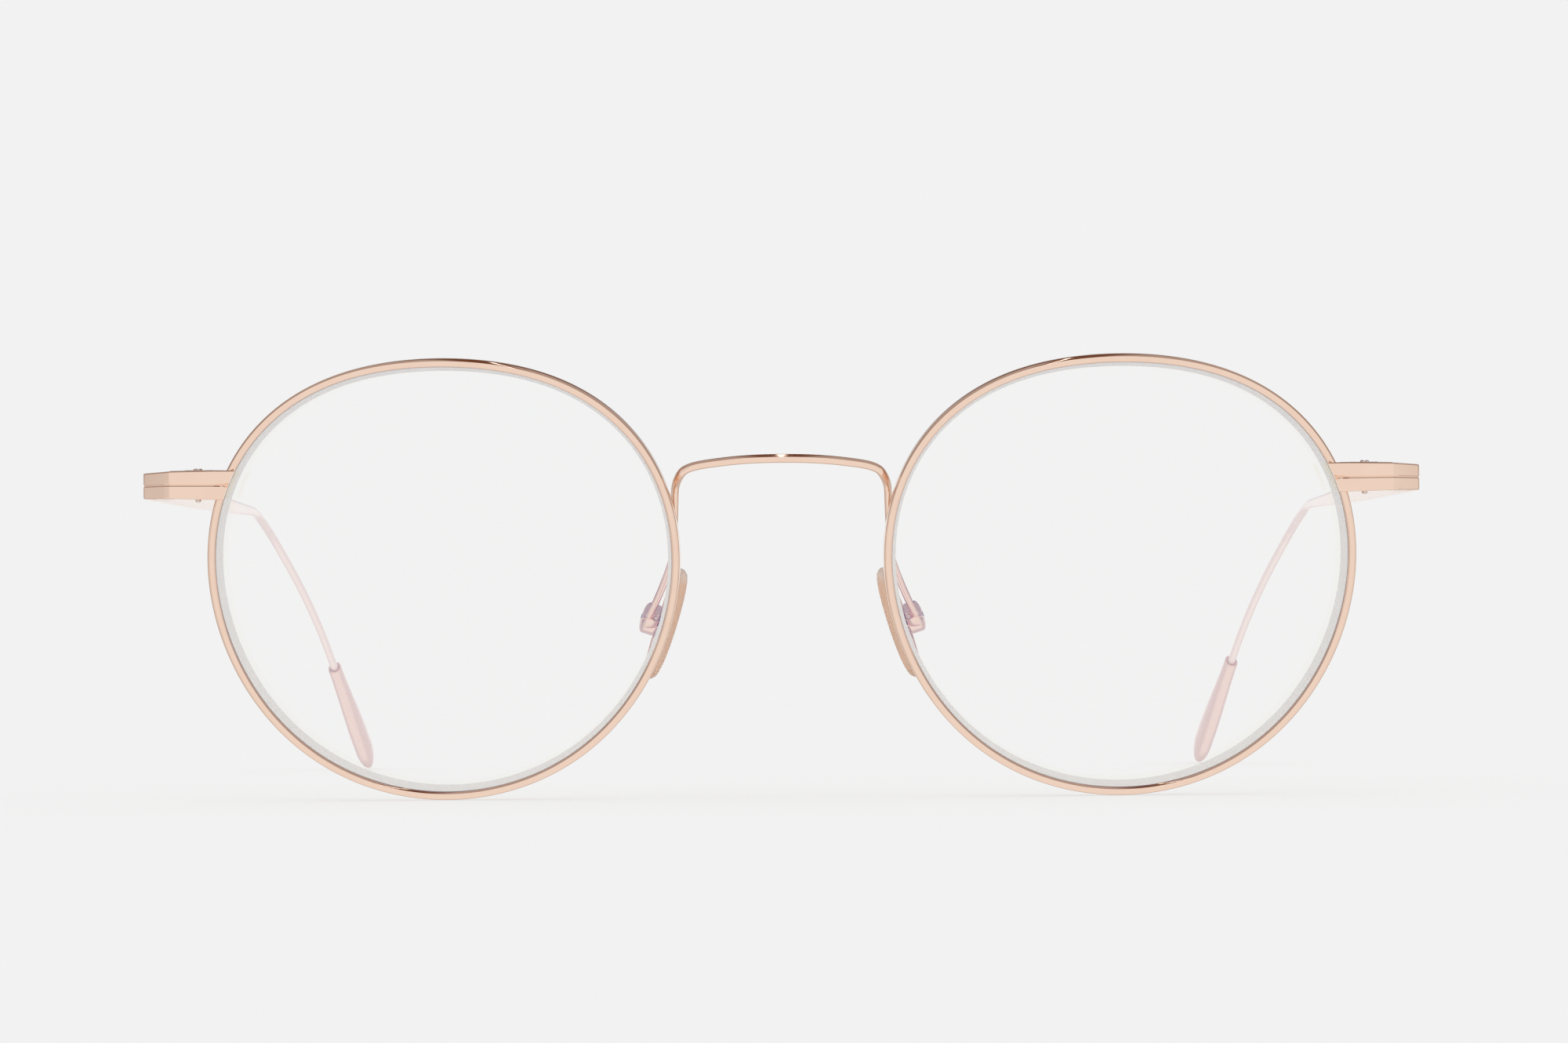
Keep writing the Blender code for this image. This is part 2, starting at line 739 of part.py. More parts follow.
def build():
    for old in list(bpy.data.objects):
        bpy.data.objects.remove(old, do_unlink=True)
    rose = material("rose_gold", (0.84, 0.60, 0.48), 0.16, 1.0)
    steel = material("screw_steel", (0.62, 0.56, 0.52), 0.24, 1.0)
    glass = material("lens_clear", (0.98, 0.98, 0.98), 0.02, 0.0, 1.0)
    clear = material("pad_clear", (0.95, 0.94, 0.93), 0.12, 0.0, 0.85)
    tip = material("tip_plastic", (0.86, 0.76, 0.73), 0.28, 0.0)

    solid("bridge", bridge_mesh(), rose)
    for side, word in ((1, "right"), (-1, "left")):
        solid(f"rim_{word}", rim_mesh(), rose, side)
        solid(f"lens_{word}", lens_mesh(), glass, side)
        solid(f"end_piece_{word}", end_piece_mesh(), rose, side)
        for above, level in ((True, "upper"), (False, "lower")):
            block = solid(f"lock_block_{level}_{word}", block_mesh(above), rose, side)
            helper(f"lock_bore_{level}_{word}", lock_cutter_mesh(), side, block, "DIFFERENCE")
        screw = solid(f"lock_screw_{word}", lock_screw_mesh(), steel, side)
        helper(f"lock_slot_{word}", lock_slot_mesh(), side, screw, "DIFFERENCE")

        front = solid(f"front_hinge_{word}", front_leaf_mesh(), rose, side)
        low = -KNUCKLE_MID - KNUCKLE_GAP
        helper(f"knuckle_top_{word}", head_knuckle_mesh(), side, front, "UNION")
        bottom = plain_knuckle_mesh(-KNUCKLE_HALF, low)
        helper(f"knuckle_bottom_{word}", bottom, side, front, "UNION")
        screw = solid(f"hinge_screw_{word}", hinge_screw_mesh(), steel, side, HINGE)
        helper(f"hinge_slot_{word}", hinge_slot_mesh(), side, screw, "DIFFERENCE")
        moving = solid(f"temple_hinge_{word}", temple_leaf_mesh(), rose, side, HINGE)
        middle = plain_knuckle_mesh(-KNUCKLE_MID, KNUCKLE_MID)
        helper(f"knuckle_middle_{word}", middle, side, moving, "UNION")
        solid(f"temple_{word}", temple_mesh(), rose, side, HINGE)
        cover = solid(f"temple_tip_{word}", tip_mesh(), tip, side, HINGE)
        helper(f"tip_hole_{word}", tip_hole_mesh(), side, cover, "DIFFERENCE")

        solid(f"pad_arm_{word}", pad_arm_mesh(), rose, side)
        cup = solid(f"pad_cup_{word}", loft(cup_mesh(), closed=True), rose, side)
        helper(f"cup_bore_{word}", pad_bore_mesh(), side, cup, "DIFFERENCE")
        screw = solid(f"pad_screw_{word}", pad_screw_mesh(), steel, side)
        helper(f"pad_slot_{word}", pad_slot_mesh(), side, screw, "DIFFERENCE")
        core = solid(f"pad_core_{word}", core_mesh(), rose, side, PAD)
        helper(f"core_boss_{word}", boss_mesh(), side, core, "UNION")
        helper(f"core_bore_{word}", pad_bore_mesh(), side, core, "DIFFERENCE")
        solid(f"nose_pad_{word}", pad_mesh(), clear, side, PAD)


build()
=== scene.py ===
"""Full-rim metal eyeglasses: the detailed model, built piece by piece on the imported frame.

Lengths are millimetres until shape() turns them into metres. +Z is up and the lenses face -Y.
The right-hand half (+X) is worked out and the left-hand half is its mirror image in x = 0.
"""

import json
import math

import bpy
import bmesh
import numpy as np
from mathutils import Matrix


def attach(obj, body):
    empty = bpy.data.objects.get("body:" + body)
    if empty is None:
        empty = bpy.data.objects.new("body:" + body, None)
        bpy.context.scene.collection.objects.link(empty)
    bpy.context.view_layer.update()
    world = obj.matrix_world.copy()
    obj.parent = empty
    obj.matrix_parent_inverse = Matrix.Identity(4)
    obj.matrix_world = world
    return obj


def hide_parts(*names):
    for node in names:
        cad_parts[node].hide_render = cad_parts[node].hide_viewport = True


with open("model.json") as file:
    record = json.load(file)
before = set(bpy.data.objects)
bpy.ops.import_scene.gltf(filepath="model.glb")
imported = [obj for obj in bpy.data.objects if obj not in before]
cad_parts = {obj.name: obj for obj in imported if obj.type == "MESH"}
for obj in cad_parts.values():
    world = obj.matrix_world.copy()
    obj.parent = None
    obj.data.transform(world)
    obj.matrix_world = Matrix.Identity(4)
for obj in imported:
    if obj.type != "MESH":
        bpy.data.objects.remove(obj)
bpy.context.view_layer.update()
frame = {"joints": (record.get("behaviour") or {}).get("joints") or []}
scene = bpy.context.scene
MM = 0.001

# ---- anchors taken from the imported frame, in millimetres ----
joints = {joint["name"]: joint for joint in frame["joints"]}
HINGE = np.array(joints["temple_fold_right"]["pos_m"]) / MM
PAD = np.array(joints["pad_rock_right"]["pos_m"]) / MM
HINGE_BACK = 12.5  # hinge axis behind the lens vertices
HINGE_RISE = 10.114  # hinge above the lens centres
FRONT_Y = HINGE[1] - HINGE_BACK  # depth of the lens vertices
RIM_CENTRE_Z = HINGE[2] - HINGE_RISE  # height of the lens centres

# ---- rims and lenses, in millimetres and degrees like all sizes below ----
LENS_SPACING = 71.0  # from lens centre to lens centre
TILT = 5.5  # top of the front leans away from the face
WRAP = 4.0  # each lens turns back at its temple side
BASE_RADIUS = 120.0  # radius of the lens front surface
RIM_MEAN = 24.05  # outer radius of the rim, then how far its outline leaves a circle
RIM_LIFT = 0.55
RIM_OVAL = 0.79
RIM_THREE = 0.53
RIM_FOUR = 0.20
RIM_WIDTH = 0.85  # seen from the front
RIM_DEPTH = 1.9
RIM_ROUND = 0.34  # depth of the rounded front
RIM_SOFT = 0.14  # rounding of the rim's back corners
GROOVE_AT = 0.93  # lens groove, from the rim front
GROOVE_HALF = 0.30
GROOVE_DEEP = 0.36
RIM_STEPS = 288
RIM_GAP = 0.24  # slit in the rim, closed by the rim screw
LENS_CLEAR = 0.02
LENS_SET = 0.62  # lens front behind the rim front
LENS_THICK = 2.0
LENS_CHAMFER = 0.5

# ---- end pieces ----
PLATE_UP = 10.0  # end piece centre above the lens centre
PLATE_BACK = 2.0  # its front face, behind the lens vertex
PLATE_LAP = 0.54  # its thickness where it laps over the rim
PLATE_THICK = 1.1
SIDE_THICK = 1.04
PLATE_STEP = 24.0  # where it becomes thick, beside the rim
PLATE_CORNER = 28.5
PLATE_TALL = (3.05, 2.86, 2.7)  # height at the rim, at the corner and on the side
CORNER_FLAT = 0.58  # narrow flat between the front plate and the facet
CORNER_ROUND = 0.05
SIDE_ROUND = 0.30
FACET_DROP = 0.02  # the facet sinks by this share of its length
SIDE_X = 66.75  # outermost face of the side
SCORE_HALF = 0.15  # decorative groove along the end piece
SCORE_DEEP = 0.085
SCORE_LAP = 2.6  # how much deeper the groove starts at the rim
EDGE = 0.17  # rounding of flat strips

# ---- rim locks ----
BLOCK_OUT = 27.4  # outer face of the rim lock blocks
UPPER_TALL = 1.25
LOWER_TALL = 1.5  # the lower block is taller, for the thread
BLOCK_DEPTH = 2.2
BLOCK_GAP = 0.06  # half the gap between the two blocks
BLOCK_ROUND = 0.1
LOCK_ACROSS = 25.8  # rim screw
LOCK_BORE = 0.36
LOCK_SHAFT = 0.32
LOCK_HEAD = 0.48
LOCK_HEAD_TALL = 0.2
LOCK_TAIL = 0.42  # screw end below the lower block

# ---- hinges ----
KNUCKLE = 0.8
KNUCKLE_EASE = 0.07
HINGE_BORE = 0.46
HINGE_PIN = 0.42
HINGE_HEAD = 0.62
HINGE_HEAD_TALL = 0.28
KNUCKLE_HALF = 1.1  # half the height of the whole barrel
KNUCKLE_MID = 0.42  # half the height of the middle knuckle
KNUCKLE_GAP = 0.05
LEAF_IN = 0.18
LEAF_OUT = 0.80
LEAF_TALL = 1.0
LEAF_REACH = 0.5  # where a leaf meets its knuckle, from the axis
LEAF_START = 0.92  # where a leaf starts beside the other one's knuckle
LEAF_FRONT = 5.2
LEAF_BACK = 7.5
LEAF_CHAMFER = 0.25
LEAF_ROUND = 0.05
SIDE_OUT = 1.90  # outer face of side and temple beyond the hinge axis

# ---- temples and tips ----
BEND = np.array([61.9, FRONT_Y + 105.2, 31.1])  # corner of the temple above the ear
KNEE = np.array([56.5, FRONT_Y + 117.6, 20.0])  # gentle second corner, on the way down
END = np.array([51.0, FRONT_Y + 136.4, 1.293])  # centre of the rounded tip end
BEND_ROUND = 7.0
KNEE_ROUND = 8.0
TEMPLE_HALF_THICK = 0.52  # at the hinge, and how much of it is gone at the bend
TEMPLE_THINS = 0.08
TEMPLE_HALF_TALL = 1.35
TEMPLE_NARROWS = 0.80
TIP_LENGTH = 16.2  # from its mouth to the centre of its rounded end
TIP_BEYOND = 1.3  # rounded end beyond that centre
TIP_CORE = 10.5  # length of temple wire inside the tip
TIP_WIDE = 3.7
TIP_THICK = 2.0
TIP_MOUTH_WIDE = 1.0  # half sizes at the mouth
TIP_MOUTH_THICK = 0.78
WIRE_CORE = 0.42
WIRE_HOLE = 0.47

# ---- bridge, nose pads and their arms ----
BRIDGE_R = 0.46
PAD_LENGTH = 6.1  # half length and half width
PAD_WIDTH = 3.4
PAD_FACE_AT = 2.3  # bearing face, from the pivot
PAD_EDGE_AT = 1.24  # middle of the rounded edge, from the pivot
PAD_EDGE_HALF = 0.46
RECESS_FLOOR = 1.17  # recess for the core in the back of the pad
RECESS_SHARE = 0.76  # its outline as a share of the pad's
CORE_SHARE = 0.71
CORE_FRONT = 1.14
CORE_BACK = 0.76
CUP_R = 1.65
CUP_IN = 1.25
CUP_LIP = 0.3  # front of the cup, floor behind it and depth of its domed back
CUP_FLOOR = -0.85
CUP_DOME = 0.5
CUP_EASE = 0.06
PAD_SCREW = 0.26
PAD_HEAD = 0.48
PAD_HEAD_TALL = 0.34
PAD_BORE = 0.305
ARM_R = 0.38
ARM_ROOT_UP = 4.0  # root of the pad arm above the lens centre
ARM_ROOT_RADIUS = 24.7  # rim's outer radius there


def unit(vector):
    vector = np.asarray(vector, float)
    return vector / np.linalg.norm(vector)


# ---- node materials ----
class Nodes:
    """Short calls for building one material's node tree."""

    def __init__(self, name):
        self.material = bpy.data.materials.new(name)
        self.material.use_nodes = True
        self.tree = self.material.node_tree
        self.tree.nodes.clear()
        self.output = self.add("ShaderNodeOutputMaterial")
        self.where = self.add("ShaderNodeTexCoord").outputs["Object"]

    def add(self, kind, **inputs):
        node = self.tree.nodes.new(kind)
        for key, value in inputs.items():
            self.put(node.inputs[key.replace("_", " ")], value)
        return node

    def put(self, socket, value):
        if isinstance(value, bpy.types.NodeSocket):
            self.tree.links.new(value, socket)
        else:
            socket.default_value = value

    def noise(self, scale, detail=3.0, stretch=None):
        node = self.add("ShaderNodeTexNoise", Scale=scale, Detail=detail)
        place = self.where
        if stretch is not None:
            mapping = self.add("ShaderNodeMapping", Vector=place)
            mapping.inputs["Scale"].default_value = stretch
            place = mapping.outputs[0]
        self.put(node.inputs["Vector"], place)
        return node.outputs["Fac"]

    def span(self, value, low, high, start=0.3, end=0.7):
        node = self.add("ShaderNodeMapRange", Value=value)
        node.inputs["From Min"].default_value = start
        node.inputs["From Max"].default_value = end
        node.inputs["To Min"].default_value = low
        node.inputs["To Max"].default_value = high
        return node.outputs["Result"]

    def blend(self, factor, first, second):
        node = self.tree.nodes.new("ShaderNodeMix")
        node.data_type = "RGBA"
        self.put(node.inputs[0], factor)
        self.put(node.inputs[6], (*first, 1.0))
        self.put(node.inputs[7], (*second, 1.0))
        return node.outputs[2]

    def bump(self, height, strength, distance):
        node = self.add("ShaderNodeBump", Height=height, Strength=strength, Distance=distance)
        return node.outputs["Normal"]

    def principled(self, **inputs):
        node = self.add("ShaderNodeBsdfPrincipled", **inputs)
        self.tree.links.new(node.outputs[0], self.output.inputs["Surface"])
        return node


def plated_metal(name, light, dark, smooth, rough, waves=0.03, metal=1.0):
    """Plating with a faint tone drift, fine polishing haze and a very slight ripple.

    smooth and rough bound its roughness. metal below 1 mixes in a matt share of the colour; the
    temples use it with a paler colour, as painted light for the white surroundings they mirror.
    """
    made = Nodes(name)
    drift = made.noise(420.0, 2.0)
    haze = made.noise(5200.0, 4.0)
    lines = made.noise(2600.0, 2.0, (1.0, 0.16, 1.0))
    both = made.add("ShaderNodeMath")
    both.operation = "ADD"
    made.put(both.inputs[0], made.span(haze, 0.0, 0.6))
    made.put(both.inputs[1], made.span(lines, 0.0, 0.4))
    made.principled(
        Base_Color=made.blend(made.span(drift, 0.0, 1.0), light, dark),
        Metallic=metal,
        Roughness=made.span(both.outputs[0], smooth, rough, 0.1, 0.9),
        Normal=made.bump(made.noise(700.0, 2.0), waves, 0.00002),
    )
    return made.material


def coated_lens():
    """Clear lens whose coating mirrors a little blue-violet light and lets the rest through."""
    made = Nodes("coated_lens")
    mirrored = (0.055, 0.068, 0.150)
    grazing_power = 6.0  # the coating turns into a full mirror only when seen edge-on
    passed = made.add("ShaderNodeBsdfTransparent")
    passed.inputs["Color"].default_value = (*[1.0 - m for m in mirrored], 1.0)
    mirror = made.add("ShaderNodeBsdfAnisotropic", Roughness=0.0)
    mirror.inputs["Color"].default_value = (*mirrored, 1.0)
    both = made.add("ShaderNodeAddShader")
    made.put(both.inputs[0], passed.outputs[0])
    made.put(both.inputs[1], mirror.outputs[0])
    edge_on = made.add("ShaderNodeBsdfAnisotropic", Roughness=0.0)
    edge_on.inputs["Color"].default_value = (0.95, 0.95, 0.97, 1.0)
    facing = made.add("ShaderNodeLayerWeight", Blend=0.5)
    steep = made.add("ShaderNodeMath")
    steep.operation = "POWER"
    made.put(steep.inputs[0], facing.outputs["Facing"])
    made.put(steep.inputs[1], grazing_power)
    share = made.add("ShaderNodeMixShader")
    made.put(share.inputs[0], steep.outputs[0])
    made.put(share.inputs[1], both.outputs[0])
    made.put(share.inputs[2], edge_on.outputs[0])
    made.put(made.output.inputs["Surface"], share.outputs[0])
    return made.material


def ground_edge():
    """Finely ground, unpolished edge of the lens."""
    made = Nodes("ground_lens_edge")
    grain = made.noise(2500.0, 3.0)
    ground = made.blend(made.span(grain, 0.0, 1.0), (0.86, 0.845, 0.84), (0.83, 0.815, 0.81))
    outer = made.add("ShaderNodeBsdfDiffuse", Color=ground, Normal=made.bump(grain, 0.02, 0.00001))
    made.put(made.output.inputs["Surface"], outer.outputs[0])
    return made.material


def silicone():
    """Soft clear pad material with a warm tint and a matt skin."""
    made = Nodes("pad_silicone")
    pale_from, pale_to = 0.0221, 0.0232  # height in metres over which the upper end turns paler
    skin = made.noise(3000.0, 3.0)
    split = made.add("ShaderNodeSeparateXYZ", Vector=made.where)
    cap = made.span(split.outputs["Z"], 0.0, 1.0, pale_from, pale_to)
    made.principled(
        Base_Color=made.blend(cap, (0.93, 0.66, 0.50), (0.96, 0.83, 0.74)),
        Roughness=made.span(skin, 0.14, 0.26),
        IOR=1.41,
        Transmission_Weight=0.45,
        Normal=made.bump(skin, 0.05, 0.00002),
    )
    return made.material


def tip_coating():
    """Moulded tip with a pearly coat in the colour of the metal."""
    made = Nodes("pearl_tip")
    flakes = made.noise(9000.0, 2.0)
    skin = made.noise(900.0, 3.0)
    made.principled(
        Base_Color=made.blend(made.span(flakes, 0.0, 1.0), (0.94, 0.73, 0.62), (0.92, 0.70, 0.585)),
        Metallic=0.4,
        Roughness=made.span(skin, 0.16, 0.22),
        Coat_Weight=0.5,
        Coat_Roughness=0.05,
        Normal=made.bump(skin, 0.03, 0.00002),
    )
    return made.material


ROSE = plated_metal("rose_gold", (0.960, 0.728, 0.588), (0.945, 0.705, 0.565), 0.045, 0.09)
# Temples: a paler, partly matt copy of the same plating, painted light standing in for the white
# surroundings they mirror.
TEMPLE_PAINTED_PALE_METAL = plated_metal(
    "rose_gold_temple_painted_pale", (0.975, 0.845, 0.775), (0.965, 0.82, 0.745), 0.08, 0.15, metal=0.25
)
PAD_METAL = plated_metal("rose_gold_core", (0.90, 0.66, 0.52), (0.86, 0.60, 0.46), 0.10, 0.22)
SCREW_METAL = plated_metal(
    "screw_steel", (0.93, 0.82, 0.75), (0.86, 0.75, 0.68), 0.22, 0.34, waves=0.05
)
LENS = coated_lens()
LENS_EDGE = ground_edge()
SILICONE = silicone()
TIP = tip_coating()


# ---- mesh building ----
def shape(name, mesh_data, surface, side=1, sharp=35.0):
    """One object in the frame's metres from points and faces in millimetres."""
    points, faces = mesh_data
    local = np.array(points, float) * np.array([side, 1.0, 1.0]) * MM
    mesh = bpy.data.meshes.new(name)
    mesh.from_pydata(local.tolist(), [], faces)
    mesh.update()
    work = bmesh.new()
    work.from_mesh(mesh)
    bmesh.ops.recalc_face_normals(work, faces=work.faces)
    if work.calc_volume(signed=True) < 0:
        bmesh.ops.reverse_faces(work, faces=work.faces)
    work.to_mesh(mesh)
    work.free()
    mesh.shade_smooth()
    mesh.set_sharp_from_angle(angle=math.radians(sharp))
    mesh.materials.append(surface)
    made = bpy.data.objects.new(name, mesh)
    scene.collection.objects.link(made)
    return made


def settle(target):
    """Replace the mesh by what its modifiers make of it."""
    bpy.context.view_layer.update()
    graph = bpy.context.evaluated_depsgraph_get()
    mesh = bpy.data.meshes.new_from_object(target.evaluated_get(graph))
    target.modifiers.clear()
    old = target.data
    target.data = mesh
    mesh.name = target.name
    bpy.data.meshes.remove(old)


def merge(target, mesh_data, side, operation, soften=0.0):
    """Join a shape to target or cut it out of it."""
    other = shape("tool", mesh_data, target.data.materials[0], side)
    if soften:
        round_edges(other, soften)
    step = target.modifiers.new("cut", "BOOLEAN")
    step.operation = operation
    step.solver = "EXACT"
    step.object = other
    settle(target)
    bpy.data.objects.remove(other, do_unlink=True)


def round_edges(target, width, segments=3, angle=30.0):
    step = target.modifiers.new("round", "BEVEL")
    step.width = width * MM
    step.segments = segments
    step.limit_method = "ANGLE"
    step.angle_limit = math.radians(angle)
    step.harden_normals = True
    step.use_clamp_overlap = True
    settle(target)


def loft(rings, closed=False):
    """Skin over rings of equal point count. Open lofts get a flat cap at each end."""
    count = len(rings[0])
    points = [point for ring in rings for point in ring]
    faces = []
    spans = len(rings) if closed else len(rings) - 1
    for i in range(spans):
        here = i * count
        there = ((i + 1) % len(rings)) * count
        for k in range(count):
            n = (k + 1) % count
            faces.append((here + k, here + n, there + n, there + k))
    if not closed:
        faces.append(tuple(range(count)))
        faces.append(tuple(range(len(points) - 1, len(points) - count - 1, -1)))
    return points, faces


def dome_loft(first, rings, last):
    """Skin over rings with a single point closing each end."""
    count = len(rings[0])
    points, faces = loft(rings)
    faces = faces[:-2]
    start = len(points)
    points = points + [first, last]
    back = (len(rings) - 1) * count
    for k in range(count):
        n = (k + 1) % count
        faces.append((k, n, start))
        faces.append((back + n, back + k, start + 1))
    return points, faces


def box(place, low, high):
    rings = []
    for w in (low[2], high[2]):
        corners = [(low[0], low[1]), (high[0], low[1]), (high[0], high[1]), (low[0], high[1])]
        rings.append([place(u, v, w) for u, v in corners])
    return loft(rings)


def lathe(place, profile, steps=64, closed=False):
    """Revolve (radius, height) pairs. place(u, v, h) gives the point. closed makes a tube."""
    turn = [2 * math.pi * (k + 0.5) / steps for k in range(steps)]
    rings = []
    for radius, height in profile:
        rings.append([place(radius * math.cos(a), radius * math.sin(a), height) for a in turn])
    return loft(rings, closed)


def ring_about(centre, first, second, half_first, half_second, count, power=1.0):
    """Oval ring. A power below one squares it up."""
    ring = []
    for k in range(count):
        angle = 2 * math.pi * (k + 0.5) / count
        c, s = math.cos(angle), math.sin(angle)
        u = half_first * math.copysign(abs(c) ** power, c)
        v = half_second * math.copysign(abs(s) ** power, s)
        ring.append(centre + u * first + v * second)
    return ring


def bezier(p0, p1, p2, p3, steps):
    p0, p1, p2, p3 = (np.array(p, float) for p in (p0, p1, p2, p3))
    found = []
    for i in range(steps + 1):
        t = i / steps
        m = 1 - t
        found.append(m**3 * p0 + 3 * m * m * t * p1 + 3 * m * t * t * p2 + t**3 * p3)
    return found


def round_corner(before, corner, after, lead, steps):
    """Curve that cuts a corner, starting and ending at the distance lead from it."""
    corner = np.array(corner, float)
    p0 = corner + lead * unit(np.subtract(before, corner))
    p2 = corner + lead * unit(np.subtract(after, corner))
    found = []
    for i in range(steps + 1):
        t = i / steps
        found.append((1 - t) ** 2 * p0 + 2 * t * (1 - t) * corner + t * t * p2)
    return found


def tangents(path):
    path = np.array(path)
    return [unit(t) for t in np.gradient(path, axis=0)]


def running_lengths(path):
    """Distance along the path at each of its points."""
    return np.cumsum([0.0] + [np.linalg.norm(b - a) for a, b in zip(path, path[1:])])


def tube(path, radius, count, first_side):
    """Round wire along a path, closed by small domes. radius may be a function of the fraction."""
    rings = []
    ways = tangents(path)
    side = unit(first_side)
    for i, (point, along) in enumerate(zip(path, ways)):
        side = unit(side - along * np.dot(side, along))
        r = radius(i / (len(path) - 1)) if callable(radius) else radius
        rings.append(ring_about(point, side, np.cross(along, side), r, r, count))
    return dome_loft(path[0], rings, path[-1])


# ---- frames of reference ----
def front_point(across, up, back):
    """Point in the tilted, wrapped frame of the right-hand lens."""
    w, t = math.radians(WRAP), math.radians(TILT)
    x = across * math.cos(w) - back * math.sin(w)
    y = across * math.sin(w) + back * math.cos(w)
    return np.array(
        [
            LENS_SPACING / 2 + x,
            FRONT_Y + y * math.cos(t) - up * math.sin(t),
            RIM_CENTRE_Z + up * math.cos(t) + y * math.sin(t),
        ]
    )


def rim_radius(angle):
    """Outer edge of the rim. Angle 0 is the temple side and 90 degrees the brow."""
    return (
        RIM_MEAN
        + RIM_LIFT * math.sin(angle)
        + RIM_OVAL * math.cos(2 * angle)
        + RIM_THREE * math.sin(3 * angle)
        - RIM_FOUR * math.cos(4 * angle)
    )


def sag(radius):
    """How far the lens front has curved back at a radius."""
    return radius * radius / (2 * BASE_RADIUS)


def polar(radius, angle, back):
    return front_point(radius * math.cos(angle), radius * math.sin(angle), back)


def rim_across(up, inset):
    """Distance outward from the lens centre to the rim, moved in by inset, at a height."""
    first_guess = 23.0
    angle = math.atan2(up, first_guess)
    for _ in range(12):
        radius = rim_radius(angle) - inset
        angle = math.asin(up / radius)
    return radius * math.cos(angle)


TEMPLE_OUT = SIDE_OUT - TEMPLE_HALF_THICK  # middle of the temple beyond the hinge axis
TEMPLE_WAY = unit(BEND - HINGE - np.array([TEMPLE_OUT, 0.0, 0.0]))
HINGE_BACKWARD = unit([TEMPLE_WAY[0], TEMPLE_WAY[1], 0.0])
HINGE_OUTWARD = np.array([HINGE_BACKWARD[1], -HINGE_BACKWARD[0], 0.0])
PAD_LONG = unit([-0.295, 0.17, 0.94])  # up along the pad
PAD_FACE = np.array([-0.97, 0.16, -0.24])  # towards the nose, then squared up to PAD_LONG
PAD_FACE = unit(PAD_FACE - PAD_LONG * np.dot(PAD_FACE, PAD_LONG))
PAD_ACROSS = np.cross(PAD_LONG, PAD_FACE)
PAD_ACROSS = PAD_ACROSS * math.copysign(1.0, PAD_ACROSS[1])


def hinge_point(out, back, up):
    return HINGE + out * HINGE_OUTWARD + back * HINGE_BACKWARD + np.array([0.0, 0.0, up])


def pad_point(along, across, face):
    return PAD + along * PAD_LONG + across * PAD_ACROSS + face * PAD_FACE


def lock_point(out, back, up):
    solder = 0.04
    middle = PLATE_BACK + PLATE_THICK + solder + BLOCK_DEPTH / 2
    return front_point(LOCK_ACROSS + out, PLATE_UP + up, middle + back)


CLOSING = math.atan2(PLATE_UP, rim_across(PLATE_UP, 0.0))  # angle of the slit in the rim


# ---- rims and lenses ----
def rim_profile():
    """(inward, back) corners of the rim wire: rounded front, lens groove, softened back."""
    half = RIM_WIDTH / 2
    front = [math.pi * k / 16 for k in range(17)]
    corners = [(half - half * math.cos(a), RIM_ROUND * (1 - math.sin(a))) for a in front]
    corners.append((RIM_WIDTH, GROOVE_AT - GROOVE_HALF))
    corners.append((RIM_WIDTH - GROOVE_DEEP, GROOVE_AT))
    corners.append((RIM_WIDTH, GROOVE_AT + GROOVE_HALF))
    level = RIM_DEPTH - RIM_SOFT
    for centre, first in ((RIM_WIDTH - RIM_SOFT, 0.0), (RIM_SOFT, math.pi / 2)):
        for k in range(6):
            a = first + math.pi / 2 * k / 5
            corners.append((centre + RIM_SOFT * math.cos(a), level + RIM_SOFT * math.sin(a)))
    return corners


def rim_angles():
    half_gap = RIM_GAP / 2 / rim_radius(CLOSING)
    return [
        CLOSING + half_gap + (2 * math.pi - 2 * half_gap) * i / RIM_STEPS
        for i in range(RIM_STEPS + 1)
    ]


def rim_mesh():
    rings = []
    for angle in rim_angles():
        radius = rim_radius(angle)
        depth = sag(radius)
        rings.append([polar(radius - u, angle, depth + v) for u, v in rim_profile()])
    return loft(rings)


def lens_mesh():
    """Meniscus with a bevel in the rim groove and a chamfered back edge.

    Also gives the range of bands, between one ring of points and the next, that form its edge.
    """
    angles = rim_angles()
    edge = RIM_WIDTH + LENS_CLEAR
    bevel = GROOVE_DEEP - 2 * LENS_CLEAR
    back_edge = LENS_SET + LENS_THICK
    rings = []

    def ring(fraction, offset, back, own_sag):
        made = []
        for angle in angles:
            outer = rim_radius(angle)
            radius = (outer - edge) * fraction + offset
            made.append(polar(radius, angle, sag(radius if own_sag else outer) + back))
        rings.append(made)

    steps = [0.04, 0.15, 0.3, 0.45, 0.6, 0.72, 0.82, 0.9, 0.96]
    for fraction in steps:
        ring(fraction, 0.0, LENS_SET, True)
    ring(1.0, 0.0, LENS_SET, True)
    ring(1.0, 0.0, GROOVE_AT - GROOVE_HALF + LENS_CLEAR, False)
    ring(1.0, bevel, GROOVE_AT, False)
    ring(1.0, 0.0, GROOVE_AT + GROOVE_HALF - LENS_CLEAR, False)
    ring(1.0, 0.0, back_edge - LENS_CHAMFER, True)
    ring(1.0, -LENS_CHAMFER, back_edge, True)
    for fraction in reversed(steps[:-1]):
        ring(fraction, 0.0, back_edge, True)
    data = dome_loft(polar(0, 0, LENS_SET), rings, polar(0, 0, back_edge))
    return data, range(len(steps), len(steps) + 5)


# ---- end pieces ----
def strip_section(tall, thick, score=1.0):
    """(up, in) corners of a flat strip with rounded edges and a groove along its outer face."""
    top = tall / 2
    half = SCORE_HALF * (1.0 + 0.35 * (score - 1.0))
    deep = SCORE_DEEP * score
    corners = [(-half, 0.0), (-half * 0.25, deep), (half * 0.25, deep), (half, 0.0)]
    for u, v, first in (
        (top - EDGE, EDGE, -math.pi / 2),
        (top - EDGE, thick - EDGE, 0.0),
        (EDGE - top, thick - EDGE, math.pi / 2),
        (EDGE - top, EDGE, math.pi),
    ):
        for k in range(6):
            a = first + math.pi / 2 * k / 5
            corners.append((u + EDGE * math.cos(a), v + EDGE * math.sin(a)))
    return corners


